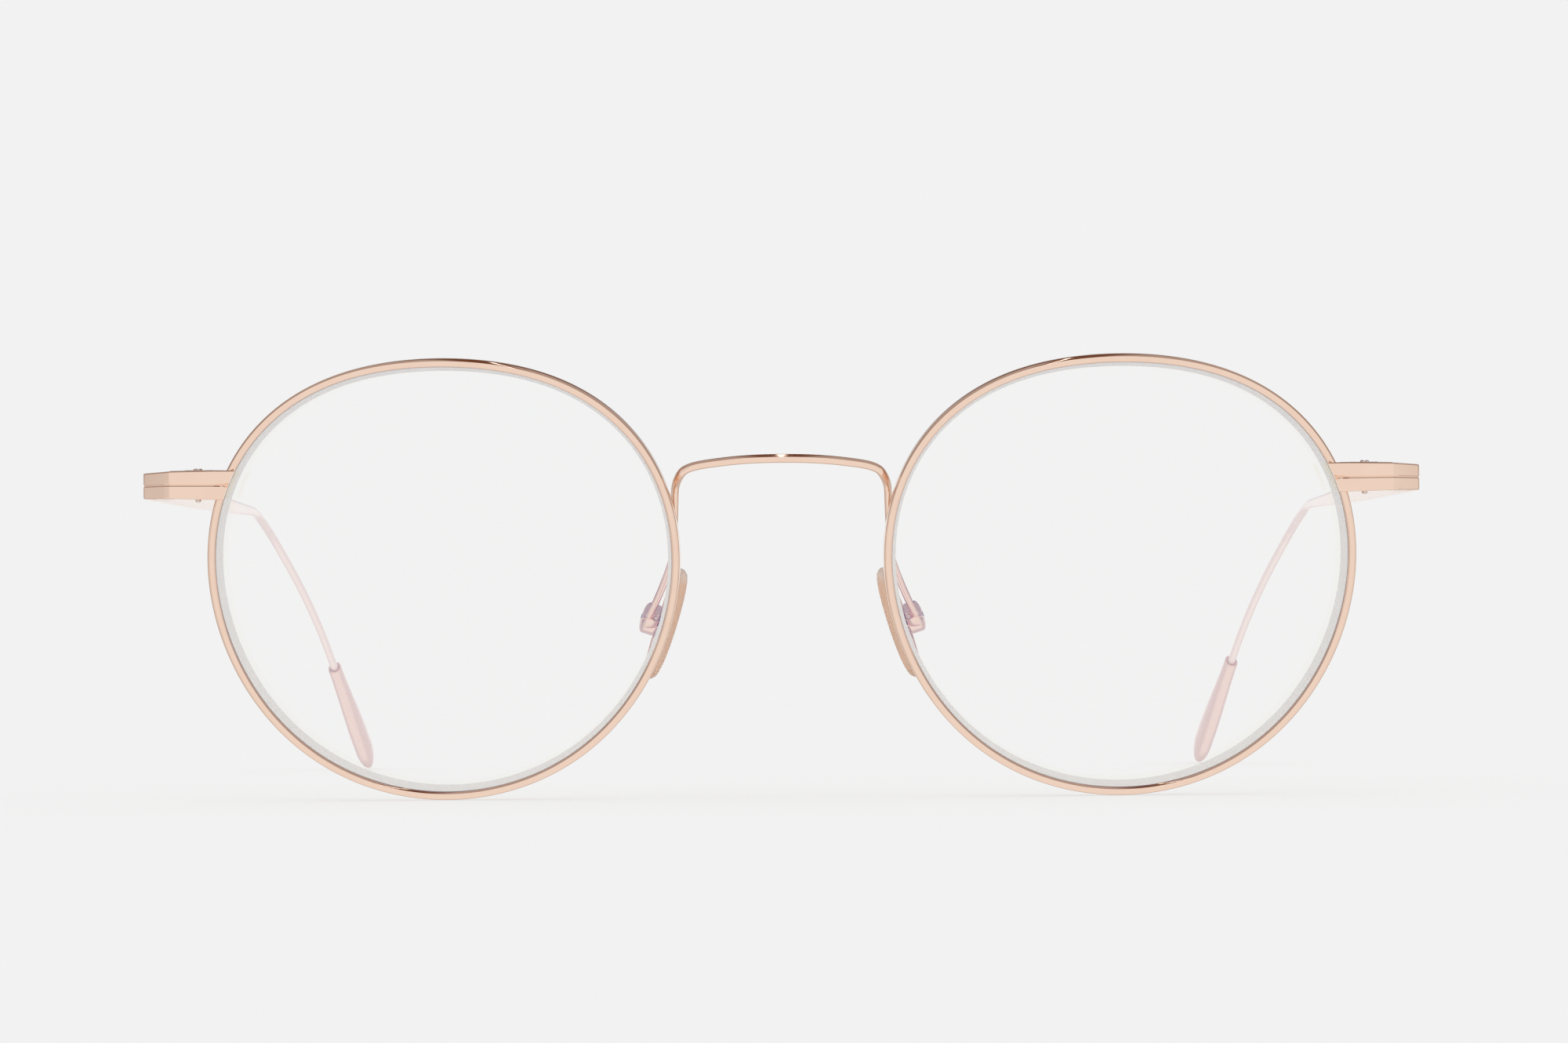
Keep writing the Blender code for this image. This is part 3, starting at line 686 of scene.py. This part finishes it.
def end_piece_mesh():
    """Front plate, 45 degree corner facet and side, one folded strip with rounded bends."""
    ahead = front_point(0, 0, -1) - front_point(0, 0, 0)
    rise = front_point(0, 1, 0) - front_point(0, 0, 0)
    upright = np.array([0.0, 0.0, 1.0])
    corner = front_point(PLATE_CORNER + CORNER_FLAT / 2, PLATE_UP, PLATE_BACK)
    stop = hinge_point(SIDE_OUT, -0.1, 0.0)  # just ahead of the temple's front end
    reach = SIDE_X - corner[0]
    turn = corner + np.array([reach, reach, -FACET_DROP * reach])
    step = front_point(PLATE_STEP + 0.03, PLATE_UP, PLATE_BACK)
    rings = []

    def lap(inset, score):
        made = []
        for u, v in strip_section(PLATE_TALL[0], PLATE_LAP, score):
            made.append(front_point(rim_across(PLATE_UP + u, inset), PLATE_UP + u, PLATE_BACK + v))
        rings.append(made)

    lap(RIM_WIDTH, SCORE_LAP)
    lap(RIM_WIDTH - 0.18, SCORE_LAP)
    lap(RIM_WIDTH - 0.36, 1.0)
    flat = [front_point(PLATE_STEP, PLATE_UP, PLATE_BACK), step]
    near = corner + CORNER_FLAT / 2 * unit(step - corner)
    far = corner + CORNER_FLAT * 0.7 * unit(turn - corner)
    first = round_corner(step, near, far, CORNER_ROUND, 4)
    second = round_corner(near, far, turn, CORNER_ROUND, 4)
    third = round_corner(far, turn, stop, SIDE_ROUND, 8)
    path = flat + first + second + third + [stop]
    lengths = running_lengths(path)
    at_corner = lengths[len(flat + first) - 1]
    at_turn = lengths[len(flat + first + second) + len(third) // 2]
    ways = []
    for i in range(len(path)):
        before = path[i] - path[i - 1] if i else path[1] - path[0]
        after = path[i + 1] - path[i] if i + 1 < len(path) else before
        ways.append(unit(unit(before) + unit(after)))
    ways[1] = ways[0]
    for point, way, length in zip(path, ways, lengths):
        f = min(max((length - at_corner) / (at_turn - at_corner), 0.0), 1.0)
        up = unit(rise * (1 - f) + upright * f)
        outward = unit(np.cross(way, up))
        if np.dot(outward, ahead + HINGE_OUTWARD) < 0:
            outward = -outward
        tall = np.interp(length, (0.0, at_corner, at_turn), PLATE_TALL)
        thick = PLATE_THICK + (SIDE_THICK - PLATE_THICK) * f
        if length == 0.0:
            thick = PLATE_LAP
        rings.append([point + up * u - outward * v for u, v in strip_section(tall, thick)])
    return loft(rings)


# ---- rim locks ----
def block_mesh(above):
    if above:
        low, high = BLOCK_GAP, BLOCK_GAP + UPPER_TALL
    else:
        low, high = -BLOCK_GAP - LOWER_TALL, -BLOCK_GAP
    inner = rim_across(PLATE_UP + low, 0.0) + 0.03 - LOCK_ACROSS
    half = BLOCK_DEPTH / 2
    return box(lock_point, (inner, -half, low), (BLOCK_OUT - LOCK_ACROSS, half, high))


def screw_profile(shaft, end, seat, head, top, crown=0.06):
    """Half outline of a screw: rounded end, thread grooves, domed head."""
    corners = [(shaft * 0.6, end), (shaft, end + shaft * 0.4)]
    pitch = shaft * 0.55
    turns = int((seat - end - shaft * 0.4) / pitch)
    for k in range(turns):
        base = end + shaft * 0.4 + k * pitch
        corners.append((shaft, base + pitch * 0.35))
        corners.append((shaft * 0.88, base + pitch * 0.6))
        corners.append((shaft, base + pitch * 0.9))
    corners += [(shaft, seat), (head, seat), (head, top - crown)]
    corners += [(head - crown * 0.35, top - crown * 0.3), (head - crown, top), (head * 0.5, top)]
    return corners


# ---- hinges ----
def extrude_leaf(outline):
    return loft([[hinge_point(out, b, u) for b, u in outline] for out in (LEAF_IN, LEAF_OUT)])


def leaf_outline(sign, far, near, slot):
    """Leaf beside the barrel: sign -1 lies on the front, +1 on the temple."""
    corners = [(far, -LEAF_TALL + LEAF_CHAMFER), (far - LEAF_CHAMFER, -LEAF_TALL)]
    if slot:
        corners += [(LEAF_REACH, -LEAF_TALL), (LEAF_REACH, -near), (LEAF_START, -near)]
        corners += [(LEAF_START, near), (LEAF_REACH, near), (LEAF_REACH, LEAF_TALL)]
    else:
        corners += [(LEAF_START, -LEAF_TALL), (LEAF_START, -near), (LEAF_REACH, -near)]
        corners += [(LEAF_REACH, near), (LEAF_START, near), (LEAF_START, LEAF_TALL)]
    corners += [(far - LEAF_CHAMFER, LEAF_TALL), (far, LEAF_TALL - LEAF_CHAMFER)]
    return [(sign * b, u) for b, u in corners]


def knuckle_mesh(low, high, countersunk=False):
    """Barrel part with a bore, and a sunk seat for the screw head if countersunk."""
    profile = [(HINGE_BORE, low), (KNUCKLE - KNUCKLE_EASE, low), (KNUCKLE, low + KNUCKLE_EASE)]
    profile += [(KNUCKLE, high - KNUCKLE_EASE), (KNUCKLE - KNUCKLE_EASE, high)]
    if countersunk:
        wide = HINGE_HEAD + 0.04
        step = high - HINGE_HEAD_TALL
        profile += [(wide, high), (wide, step), (HINGE_BORE, step)]
    else:
        profile += [(HINGE_BORE, high)]
    return lathe(hinge_point, profile, 64, closed=True)


# ---- temples and tips ----
def temple_path():
    """Middle line of the wire up to the tip's mouth, and the way from its end up to the knee."""
    start = hinge_point(TEMPLE_OUT, 0.1, 0.0)
    straight = [start + (BEND - start) * f for f in np.linspace(0.0, 0.88, 60)]
    path = straight + round_corner(start, BEND, KNEE, BEND_ROUND, 30)
    path += round_corner(BEND, KNEE, END, KNEE_ROUND, 26)
    leg = unit(KNEE - END)
    last = END + leg * (TIP_LENGTH + 0.4)
    path += [path[-1] + (last - path[-1]) * f for f in (0.25, 0.5, 0.75, 1.0)]
    return path, leg


def temple_axes(along):
    out = unit(HINGE_OUTWARD - along * np.dot(HINGE_OUTWARD, along))
    return out, np.cross(out, along)


def temple_mesh():
    """Flat strip that tapers to a round wire, then a thinner core inside the tip."""
    path, leg = temple_path()
    core = len(path)
    path = path + [END + leg * (TIP_LENGTH - 0.15), END + leg * (TIP_LENGTH - TIP_CORE)]
    ways = tangents(path)
    ways[-1] = ways[-2] = ways[-3] = -leg
    lengths = running_lengths(path)
    straight = np.linalg.norm(BEND - path[0]) - BEND_ROUND
    rings = []
    for i, (point, along) in enumerate(zip(path, ways)):
        out, up = temple_axes(along)
        f = min(lengths[i] / straight, 1.0)
        half_tall = TEMPLE_HALF_TALL - TEMPLE_NARROWS * f**1.6
        half_thick = TEMPLE_HALF_THICK - TEMPLE_THINS * f
        if i >= core:
            half_tall = half_thick = WIRE_CORE
        rings.append(ring_about(point, out, up, half_thick, half_tall, 48, 0.42 + 0.53 * f))
    return loft(rings)


def tip_mesh():
    """Flattened paddle that swells towards a full round end, slightly drawn in at its mouth."""
    leg = unit(KNEE - END)
    out, up = temple_axes(-leg)
    top = END + leg * TIP_LENGTH
    widest = 0.72  # shares of the length: where it is widest, and from 0.8 on its end rounds off
    rings = []
    steps = 64
    for i in range(steps + 1):
        f = 1.0 - (1.0 - i / steps) ** 1.35 if i < steps else 0.9995
        swell = 0.5 - 0.5 * math.cos(math.pi * min(f / widest, 1.0))
        close = 1.0 if f < 0.8 else math.sqrt(max(1 - ((f - 0.8) / 0.2) ** 2, 0.0))
        mouth = 0.95 + 0.05 * min(f / 0.012, 1.0)
        half_wide = (TIP_MOUTH_WIDE + (TIP_WIDE / 2 - TIP_MOUTH_WIDE) * swell) * close * mouth
        half_thick = (TIP_MOUTH_THICK + (TIP_THICK / 2 - TIP_MOUTH_THICK) * swell) * close * mouth
        place = top - leg * (TIP_LENGTH + TIP_BEYOND) * f
        rings.append(ring_about(place, out, up, half_thick, half_wide, 48, 0.88))
    return dome_loft(top, rings, top - leg * (TIP_LENGTH + TIP_BEYOND))


def tip_hole_mesh():
    leg = unit(KNEE - END)
    out, up = temple_axes(-leg)
    ends = (TIP_LENGTH + 1.0, TIP_LENGTH - TIP_CORE - 0.15)
    return loft([ring_about(END + leg * d, out, up, WIRE_HOLE, WIRE_HOLE, 32) for d in ends])


# ---- bridge ----
def bridge_mesh():
    """Wire that rises from behind the rims, turns inward and spans the gap in one flat arch."""
    behind = FRONT_Y + 2.9
    foot = np.array([11.1, behind, 27.6])
    shoulder = foot + np.array([0.0, 0.0, 4.2])
    corner = np.array([10.25, FRONT_Y + 0.7, 34.0])
    crown = np.array([6.7, FRONT_Y - 0.45, 34.92])
    middle = np.array([0.0, FRONT_Y - 0.8, 35.3])
    right = [foot + (shoulder - foot) * f for f in np.linspace(0.0, 0.92, 20)]
    right += bezier(shoulder, shoulder + [0, -0.3, 1.0], corner + [0.45, 0.5, -0.5], corner, 24)
    right += bezier(corner, corner + [-0.6, -0.6, 0.55], crown + [1.6, 0.15, -0.2], crown, 24)[1:]
    right += bezier(crown, crown + [-2.2, -0.2, 0.27], middle + [2.6, 0, 0], middle, 36)[1:]
    left = [point * np.array([-1.0, 1.0, 1.0]) for point in reversed(right[:-1])]
    path = right + left
    lengths = running_lengths(path)
    share = lengths / lengths[-1]

    def radius(f):
        """The wire is drawn thinner towards both feet."""
        here = share[int(round(f * (len(path) - 1)))]
        return BRIDGE_R * min(1.0, 0.6 + 2.4 * min(here, 1 - here))

    return tube(path, radius, 40, (0.0, 1.0, 0.0))


# ---- nose pads ----
def pad_ring(scale, face, count=72):
    """The pad's slightly tapered oval outline, scaled, at a level."""
    ring = []
    for k in range(count):
        angle = 2 * math.pi * k / count
        length = PAD_LENGTH * math.cos(angle)
        width = PAD_WIDTH * math.sin(angle) * (1 - 0.08 * math.cos(angle))
        ring.append(pad_point(length * scale, width * scale, face))
    return ring


def pad_mesh():
    """Soft clear pad: gently crowned bearing face, rounded edge, shallow recess for the core."""
    crown = ((0.2, 0.0), (0.4, 0.01), (0.6, 0.04), (0.75, 0.12), (0.86, 0.24), (0.93, 0.38))
    steps = [(scale, PAD_FACE_AT - drop) for scale, drop in crown]
    for k in range(1, 8):
        a = math.pi * (k / 8 - 0.5)
        steps.append((0.955 + 0.045 * math.cos(a), PAD_EDGE_AT - PAD_EDGE_HALF * math.sin(a)))
    steps += [(0.9, 0.73), (0.78, 0.7), (RECESS_SHARE, 0.74)]
    steps += [(RECESS_SHARE, RECESS_FLOOR), (0.4, RECESS_FLOOR)]
    rings = [pad_ring(scale, face) for scale, face in steps]
    return dome_loft(pad_point(0, 0, PAD_FACE_AT), rings, pad_point(0, 0, RECESS_FLOOR))


def core_mesh():
    """Metal plate inside the recess, in the pad's outline."""
    rings = [pad_ring(CORE_SHARE, CORE_FRONT), pad_ring(CORE_SHARE, CORE_BACK)]
    return dome_loft(pad_point(0, 0, CORE_FRONT), rings, pad_point(0, 0, CORE_BACK))


def boss_mesh():
    """Block on the back of the core that the pad screw passes through."""
    return box(pad_point, (-0.6, -0.72, -0.5), (0.6, 0.72, 0.95))


def across_pad(u, v, h):
    """Point at the height h along the pad screw's axis."""
    return pad_point(u, h, v)


def pad_bore_mesh():
    return lathe(across_pad, [(PAD_BORE, -4), (PAD_BORE, 4)], 40)


def cup_mesh():
    """Round cup, open towards the pad, with a softly domed back."""
    hole = 0.3
    brink = CUP_LIP - CUP_EASE
    profile = [(CUP_R - CUP_EASE, CUP_LIP), (CUP_R, brink), (CUP_R, CUP_FLOOR)]
    for k in range(1, 9):
        a = math.pi / 2 * k / 8
        profile.append((hole + (CUP_R - hole) * math.cos(a), CUP_FLOOR - CUP_DOME * math.sin(a)))
    profile += [(hole, CUP_FLOOR), (CUP_IN - 0.1, CUP_FLOOR), (CUP_IN, CUP_FLOOR + 0.1)]
    profile += [(CUP_IN, brink), (CUP_IN + CUP_EASE, CUP_LIP)]
    return lathe(pad_point, profile, 64, closed=True)


def pad_arm_mesh():
    """Wire that leaves the back of the rim, swings backward and comes down on the cup."""
    angle = math.pi - math.asin(ARM_ROOT_UP / ARM_ROOT_RADIUS)
    outer = rim_radius(angle)
    inward = front_point(0, 0, 1) - front_point(0, 0, 0)
    start = polar(outer - RIM_WIDTH / 2, angle, sag(outer) + RIM_DEPTH + 0.05)
    leave = start + 0.4 * inward
    end = pad_point(0.0, -CUP_R - 0.05, -0.82)
    arrive = end - 0.3 * PAD_ACROSS
    curve = bezier(leave, leave + [0.3, 3.2, -1.8], arrive + [-1.7, -1.0, 3.4], arrive, 64)
    return tube([start, *curve, end], ARM_R, 32, (1.0, 0.0, 0.0))


# ---- the pieces ----
def hand_over(made, body, slot, *nodes):
    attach(made, body)
    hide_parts(*nodes)


def build_rim(side, word):
    rim = shape(f"rim_wire_{word}", rim_mesh(), ROSE, side)
    hand_over(rim, "front", "frame_metal", f"rim_{word}")

    data, edge_bands = lens_mesh()
    lens = shape(f"lens_blank_{word}", data, LENS, side, 25.0)
    lens.data.materials.append(LENS_EDGE)
    count = len(rim_angles())
    for polygon in lens.data.polygons:
        if min(polygon.vertices) // count in edge_bands:
            polygon.material_index = 1
    hand_over(lens, "front", "lens", f"lens_{word}")


def build_end_piece(side, word):
    plate = shape(f"end_plate_{word}", end_piece_mesh(), ROSE, side, 30.0)
    hand_over(plate, "front", "frame_metal", f"end_piece_{word}")


def build_rim_lock(side, word):
    for above, level in ((True, "upper"), (False, "lower")):
        block = shape(f"rim_lock_{level}_{word}", block_mesh(above), ROSE, side)
        round_edges(block, BLOCK_ROUND)
        bore = lathe(lock_point, [(LOCK_BORE, -LOWER_TALL - 1), (LOCK_BORE, UPPER_TALL + 1)])
        merge(block, bore, side, "DIFFERENCE")
        hand_over(block, "front", "frame_metal", f"lock_block_{level}_{word}")

    seat = BLOCK_GAP + UPPER_TALL + 0.02
    top = seat + LOCK_HEAD_TALL
    end = -BLOCK_GAP - LOWER_TALL - LOCK_TAIL
    profile = screw_profile(LOCK_SHAFT, end, seat, LOCK_HEAD, top)
    screw = shape(f"rim_screw_{word}", lathe(lock_point, profile), SCREW_METAL, side)
    slot = box(lock_point, (-0.1, -2, top - 0.12), (0.1, 2, top + 1))
    merge(screw, slot, side, "DIFFERENCE")
    hand_over(screw, "front", "screw_metal", f"lock_screw_{word}")


def build_hinge(side, word):
    prong = KNUCKLE_MID + KNUCKLE_GAP
    outline = leaf_outline(-1, LEAF_FRONT, prong, True)
    leaf = shape(f"hinge_leaf_{word}", extrude_leaf(outline), ROSE, side)
    round_edges(leaf, LEAF_ROUND, 2)
    merge(leaf, knuckle_mesh(prong, KNUCKLE_HALF, True), side, "UNION")
    merge(leaf, knuckle_mesh(-KNUCKLE_HALF, -prong), side, "UNION")
    hand_over(leaf, "front", "frame_metal", f"front_hinge_{word}")

    seat = KNUCKLE_HALF - HINGE_HEAD_TALL + 0.02
    profile = screw_profile(HINGE_PIN, -KNUCKLE_HALF + 0.02, seat, HINGE_HEAD, KNUCKLE_HALF)
    pin = shape(f"hinge_pin_{word}", lathe(hinge_point, profile), SCREW_METAL, side)
    slot = box(hinge_point, (-1, -0.08, KNUCKLE_HALF - 0.14), (1, 0.08, KNUCKLE_HALF + 1))
    merge(pin, slot, side, "DIFFERENCE")
    hand_over(pin, "front", "screw_metal", f"hinge_screw_{word}")


def build_temple(side, word):
    body = f"temple_{word}"
    tongue = KNUCKLE_MID - 0.08
    outline = leaf_outline(1, LEAF_BACK, tongue, False)
    leaf = shape(f"temple_leaf_{word}", extrude_leaf(outline), TEMPLE_PAINTED_PALE_METAL, side)
    round_edges(leaf, LEAF_ROUND, 2)
    merge(leaf, knuckle_mesh(-KNUCKLE_MID, KNUCKLE_MID), side, "UNION")
    hand_over(leaf, body, "temple_metal", f"temple_hinge_{word}")

    arm = shape(f"temple_arm_{word}", temple_mesh(), TEMPLE_PAINTED_PALE_METAL, side)
    hand_over(arm, body, "temple_metal", f"temple_{word}")

    cover = shape(f"tip_sleeve_{word}", tip_mesh(), TIP, side)
    merge(cover, tip_hole_mesh(), side, "DIFFERENCE")
    hand_over(cover, body, "tip_plastic", f"temple_tip_{word}")


def build_pad_mount(side, word):
    wire = shape(f"guard_arm_{word}", pad_arm_mesh(), ROSE, side)
    hand_over(wire, "front", "frame_metal", f"pad_arm_{word}")

    cup = shape(f"guard_cup_{word}", cup_mesh(), ROSE, side)
    merge(cup, pad_bore_mesh(), side, "DIFFERENCE")
    hand_over(cup, "front", "frame_metal", f"pad_cup_{word}")

    seat = CUP_R + 0.05
    profile = screw_profile(PAD_SCREW, -CUP_R + 0.05, seat, PAD_HEAD, seat + PAD_HEAD_TALL)
    pin = shape(f"guard_screw_{word}", lathe(across_pad, profile, 48), SCREW_METAL, side)
    slot = box(across_pad, (-1, -0.06, seat + 0.2), (1, 0.06, seat + 1))
    merge(pin, slot, side, "DIFFERENCE")
    hand_over(pin, "front", "screw_metal", f"pad_screw_{word}")


def build_pad(side, word):
    body = f"pad_{word}"
    core = shape(f"guard_core_{word}", core_mesh(), PAD_METAL, side)
    round_edges(core, 0.08)
    merge(core, boss_mesh(), side, "UNION", 0.12)
    merge(core, pad_bore_mesh(), side, "DIFFERENCE")
    hand_over(core, body, "pad_metal", f"pad_core_{word}")

    pad = shape(f"guard_pad_{word}", pad_mesh(), SILICONE, side)
    hand_over(pad, body, "pad_clear", f"nose_pad_{word}")


bridge = shape("bridge_wire", bridge_mesh(), ROSE)
hand_over(bridge, "front", "frame_metal", "bridge")
for side, word in ((1, "right"), (-1, "left")):
    build_rim(side, word)
    build_end_piece(side, word)
    build_rim_lock(side, word)
    build_hinge(side, word)
    build_temple(side, word)
    build_pad_mount(side, word)
    build_pad(side, word)


# ---- floor, light and camera, in metres ----
PAPER = 0.888  # linear tone of the paper and of the light round it
PAINT = 0.9  # linear tone of the paper's lit share
FLOOR_UNDER = 0.00003  # gap between the paper and the glasses standing on it
FLOOR_FADE = (0.30, 0.72)  # radii between which the paper fades out
LAMP_HALF = 0.0045  # half width of the strip lamp, its ends in y and its height
LAMP_ENDS = (-0.66, 0.28)
LAMP_HEIGHT = 0.45
LAMP_POWER = 2.2
CAMERA_PLACE = (0.0002, FRONT_Y * MM - 0.750, 0.0225)
CAMERA_PITCH = 90.4786  # degrees; 90 is level
CAMERA_ROLL = 0.42  # degrees
CAMERA_FOCAL = 165.92  # mm of focal length, on a sensor 36 mm wide


def floor_disc(radius=0.75, rings=24, steps=96):
    """Round sheet whose rings lie closer together near the middle."""
    points = [(0.0, 0.0, 0.0)]
    faces = []
    for i in range(1, rings + 1):
        r = radius * (i / rings) ** 1.5
        for k in range(steps):
            a = 2 * math.pi * k / steps
            points.append((r * math.cos(a), r * math.sin(a), 0.0))
    for k in range(steps):
        faces.append((0, 1 + k, 1 + (k + 1) % steps))
    for i in range(rings - 1):
        here, there = 1 + i * steps, 1 + (i + 1) * steps
        for k in range(steps):
            n = (k + 1) % steps
            faces.append((here + k, there + k, there + n, here + n))
    mesh = bpy.data.meshes.new("floor")
    mesh.from_pydata(points, [], faces)
    mesh.update()
    made = bpy.data.objects.new("floor", mesh)
    scene.collection.objects.link(made)
    made.location.z = -FLOOR_UNDER
    return made


def floor_paper():
    """Matt white paper, about half of it self-lit to keep shadows faint. Fades at its border."""
    made = Nodes("floor_paper")
    paint = made.add("ShaderNodeBsdfDiffuse", Roughness=0.0)
    paint.inputs["Color"].default_value = (PAINT, PAINT, PAINT, 1.0)
    glow = made.add("ShaderNodeEmission", Strength=PAPER)
    paper = made.add("ShaderNodeMixShader")
    made.put(paper.inputs[0], made.span(made.noise(60.0, 2.0), 0.54, 0.56))
    made.put(paper.inputs[1], paint.outputs[0])
    made.put(paper.inputs[2], glow.outputs[0])
    clear = made.add("ShaderNodeBsdfTransparent")
    length = made.add("ShaderNodeVectorMath")
    length.operation = "LENGTH"
    made.put(length.inputs[0], made.where)
    share = made.add("ShaderNodeMixShader")
    made.put(share.inputs[0], made.span(length.outputs["Value"], 0.0, 1.0, *FLOOR_FADE))
    made.put(share.inputs[1], paper.outputs[0])
    made.put(share.inputs[2], clear.outputs[0])
    made.put(made.output.inputs["Surface"], share.outputs[0])
    return made.material


floor = floor_disc()
floor.data.materials.append(floor_paper())
floor.visible_glossy = False


def studio_world():
    """Even pale surround. Reflections also see dark flags overhead and behind, and greyer sides."""
    world = bpy.data.worlds.new("studio")
    scene.world = world
    world.use_nodes = True
    tree = world.node_tree
    tree.nodes.clear()

    def add(kind, operation=None):
        node = tree.nodes.new(kind)
        if operation:
            node.operation = operation
        return node

    def put(socket, value):
        if isinstance(value, bpy.types.NodeSocket):
            tree.links.new(value, socket)
        else:
            socket.default_value = value

    def calc(operation, *values):
        node = add("ShaderNodeMath", operation)
        for socket, value in zip(node.inputs, values):
            put(socket, value)
        return node.outputs[0]

    def ramp(value, start, end, low, high, smooth=True):
        node = add("ShaderNodeMapRange")
        node.interpolation_type = "SMOOTHSTEP" if smooth else "LINEAR"
        for key, number in zip(
            ("Value", "From Min", "From Max", "To Min", "To Max"), (value, start, end, low, high)
        ):
            put(node.inputs[key], number)
        return node.outputs["Result"]

    split = add("ShaderNodeSeparateXYZ")
    put(split.inputs[0], add("ShaderNodeTexCoord").outputs["Generated"])
    x, y, z = split.outputs
    # Angle in the x = 0 plane: 0 is straight ahead of the lenses, 90 overhead, 180 behind.
    pitch = calc("MULTIPLY", calc("ARCTAN2", z, calc("MULTIPLY", y, -1.0)), 180 / math.pi)
    aside = calc("ABSOLUTE", x)
    # The flag overhead is darkest in the middle and ends short of both sides.
    overhead = calc(
        "MULTIPLY", ramp(pitch, 36.0, 43.0, 0.0, 1.0), ramp(pitch, 168.0, 178.0, 1.0, 0.0)
    )
    middle = calc(
        "MULTIPLY", ramp(aside, 0.06, 0.18, 1.0, 0.62), ramp(aside, 0.93, 0.99, 1.0, 0.0)
    )
    # The one behind is fainter and leaves out the direction straight behind.
    rear = calc("MULTIPLY", ramp(y, 0.08, 0.40, 0.0, 0.36), ramp(y, 0.88, 0.96, 1.0, 0.0))
    dark = calc("MAXIMUM", calc("MULTIPLY", overhead, middle), rear)
    left = ramp(x, -0.98, -0.55, 0.83, 1.0)
    right = ramp(x, 0.55, 0.98, 1.0, 0.93)
    sides = calc("MULTIPLY", left, right)
    path = add("ShaderNodeLightPath")
    mirrored = calc("MULTIPLY", path.outputs["Is Glossy Ray"], path.outputs["Is Reflection Ray"])

    def tone(factor, first, second):
        node = add("ShaderNodeMix")
        node.data_type = "RGBA"
        put(node.inputs[0], factor)
        for socket, value in zip((node.inputs[6], node.inputs[7]), (first, second)):
            put(socket, value if isinstance(value, bpy.types.NodeSocket) else (*value, 1.0))
        return node.outputs[2]

    surround = tone(ramp(sides, 0.7, 1.0, 0.0, 1.0, False), (0.62, 0.60, 0.595), (1.0, 1.0, 1.0))
    flagged = tone(dark, surround, (0.17, 0.075, 0.045))
    seen = tone(mirrored, (1.0, 1.0, 1.0), flagged)
    # Light on matt surfaces is lifted by as much as the paper's paint takes away.
    lift = ramp(path.outputs["Is Diffuse Ray"], 0.0, 1.0, 1.0, 1.0 / PAINT, False)
    back = add("ShaderNodeBackground")
    put(back.inputs["Color"], seen)
    put(back.inputs["Strength"], calc("MULTIPLY", lift, PAPER))
    out = add("ShaderNodeOutputWorld")
    put(out.inputs["Surface"], back.outputs[0])
    world.cycles.sampling_method = "NONE"


def strip_lamp():
    """Narrow lamp panel above the glasses, seen only as a highlight in polished surfaces."""
    ahead, behind = LAMP_ENDS
    corners = [(-LAMP_HALF, ahead), (LAMP_HALF, ahead), (LAMP_HALF, behind), (-LAMP_HALF, behind)]
    mesh = bpy.data.meshes.new("strip_lamp")
    mesh.from_pydata([(x, y, LAMP_HEIGHT) for x, y in corners], [], [(0, 1, 2, 3)])
    mesh.update()
    made = Nodes("lamp_panel")
    glow = made.add("ShaderNodeEmission", Strength=LAMP_POWER)
    made.put(made.output.inputs["Surface"], glow.outputs[0])
    mesh.materials.append(made.material)
    lamp = bpy.data.objects.new("strip_lamp", mesh)
    scene.collection.objects.link(lamp)
    lamp.visible_camera = lamp.visible_diffuse = lamp.visible_shadow = False
    lamp.visible_transmission = False
    made.material.cycles.emission_sampling = "NONE"


strip_lamp()
studio_world()

camera_data = bpy.data.cameras.new("camera")
camera_data.sensor_width = 36.0
camera_data.lens = CAMERA_FOCAL
camera_data.clip_start = 0.05
camera_data.clip_end = 20.0
camera = bpy.data.objects.new("camera", camera_data)
scene.collection.objects.link(camera)
camera.location = CAMERA_PLACE
camera.rotation_euler = (math.radians(CAMERA_PITCH), math.radians(CAMERA_ROLL), 0.0)
scene.camera = camera
scene.view_settings.view_transform = "Standard"
scene.cycles.filter_width = 1.4
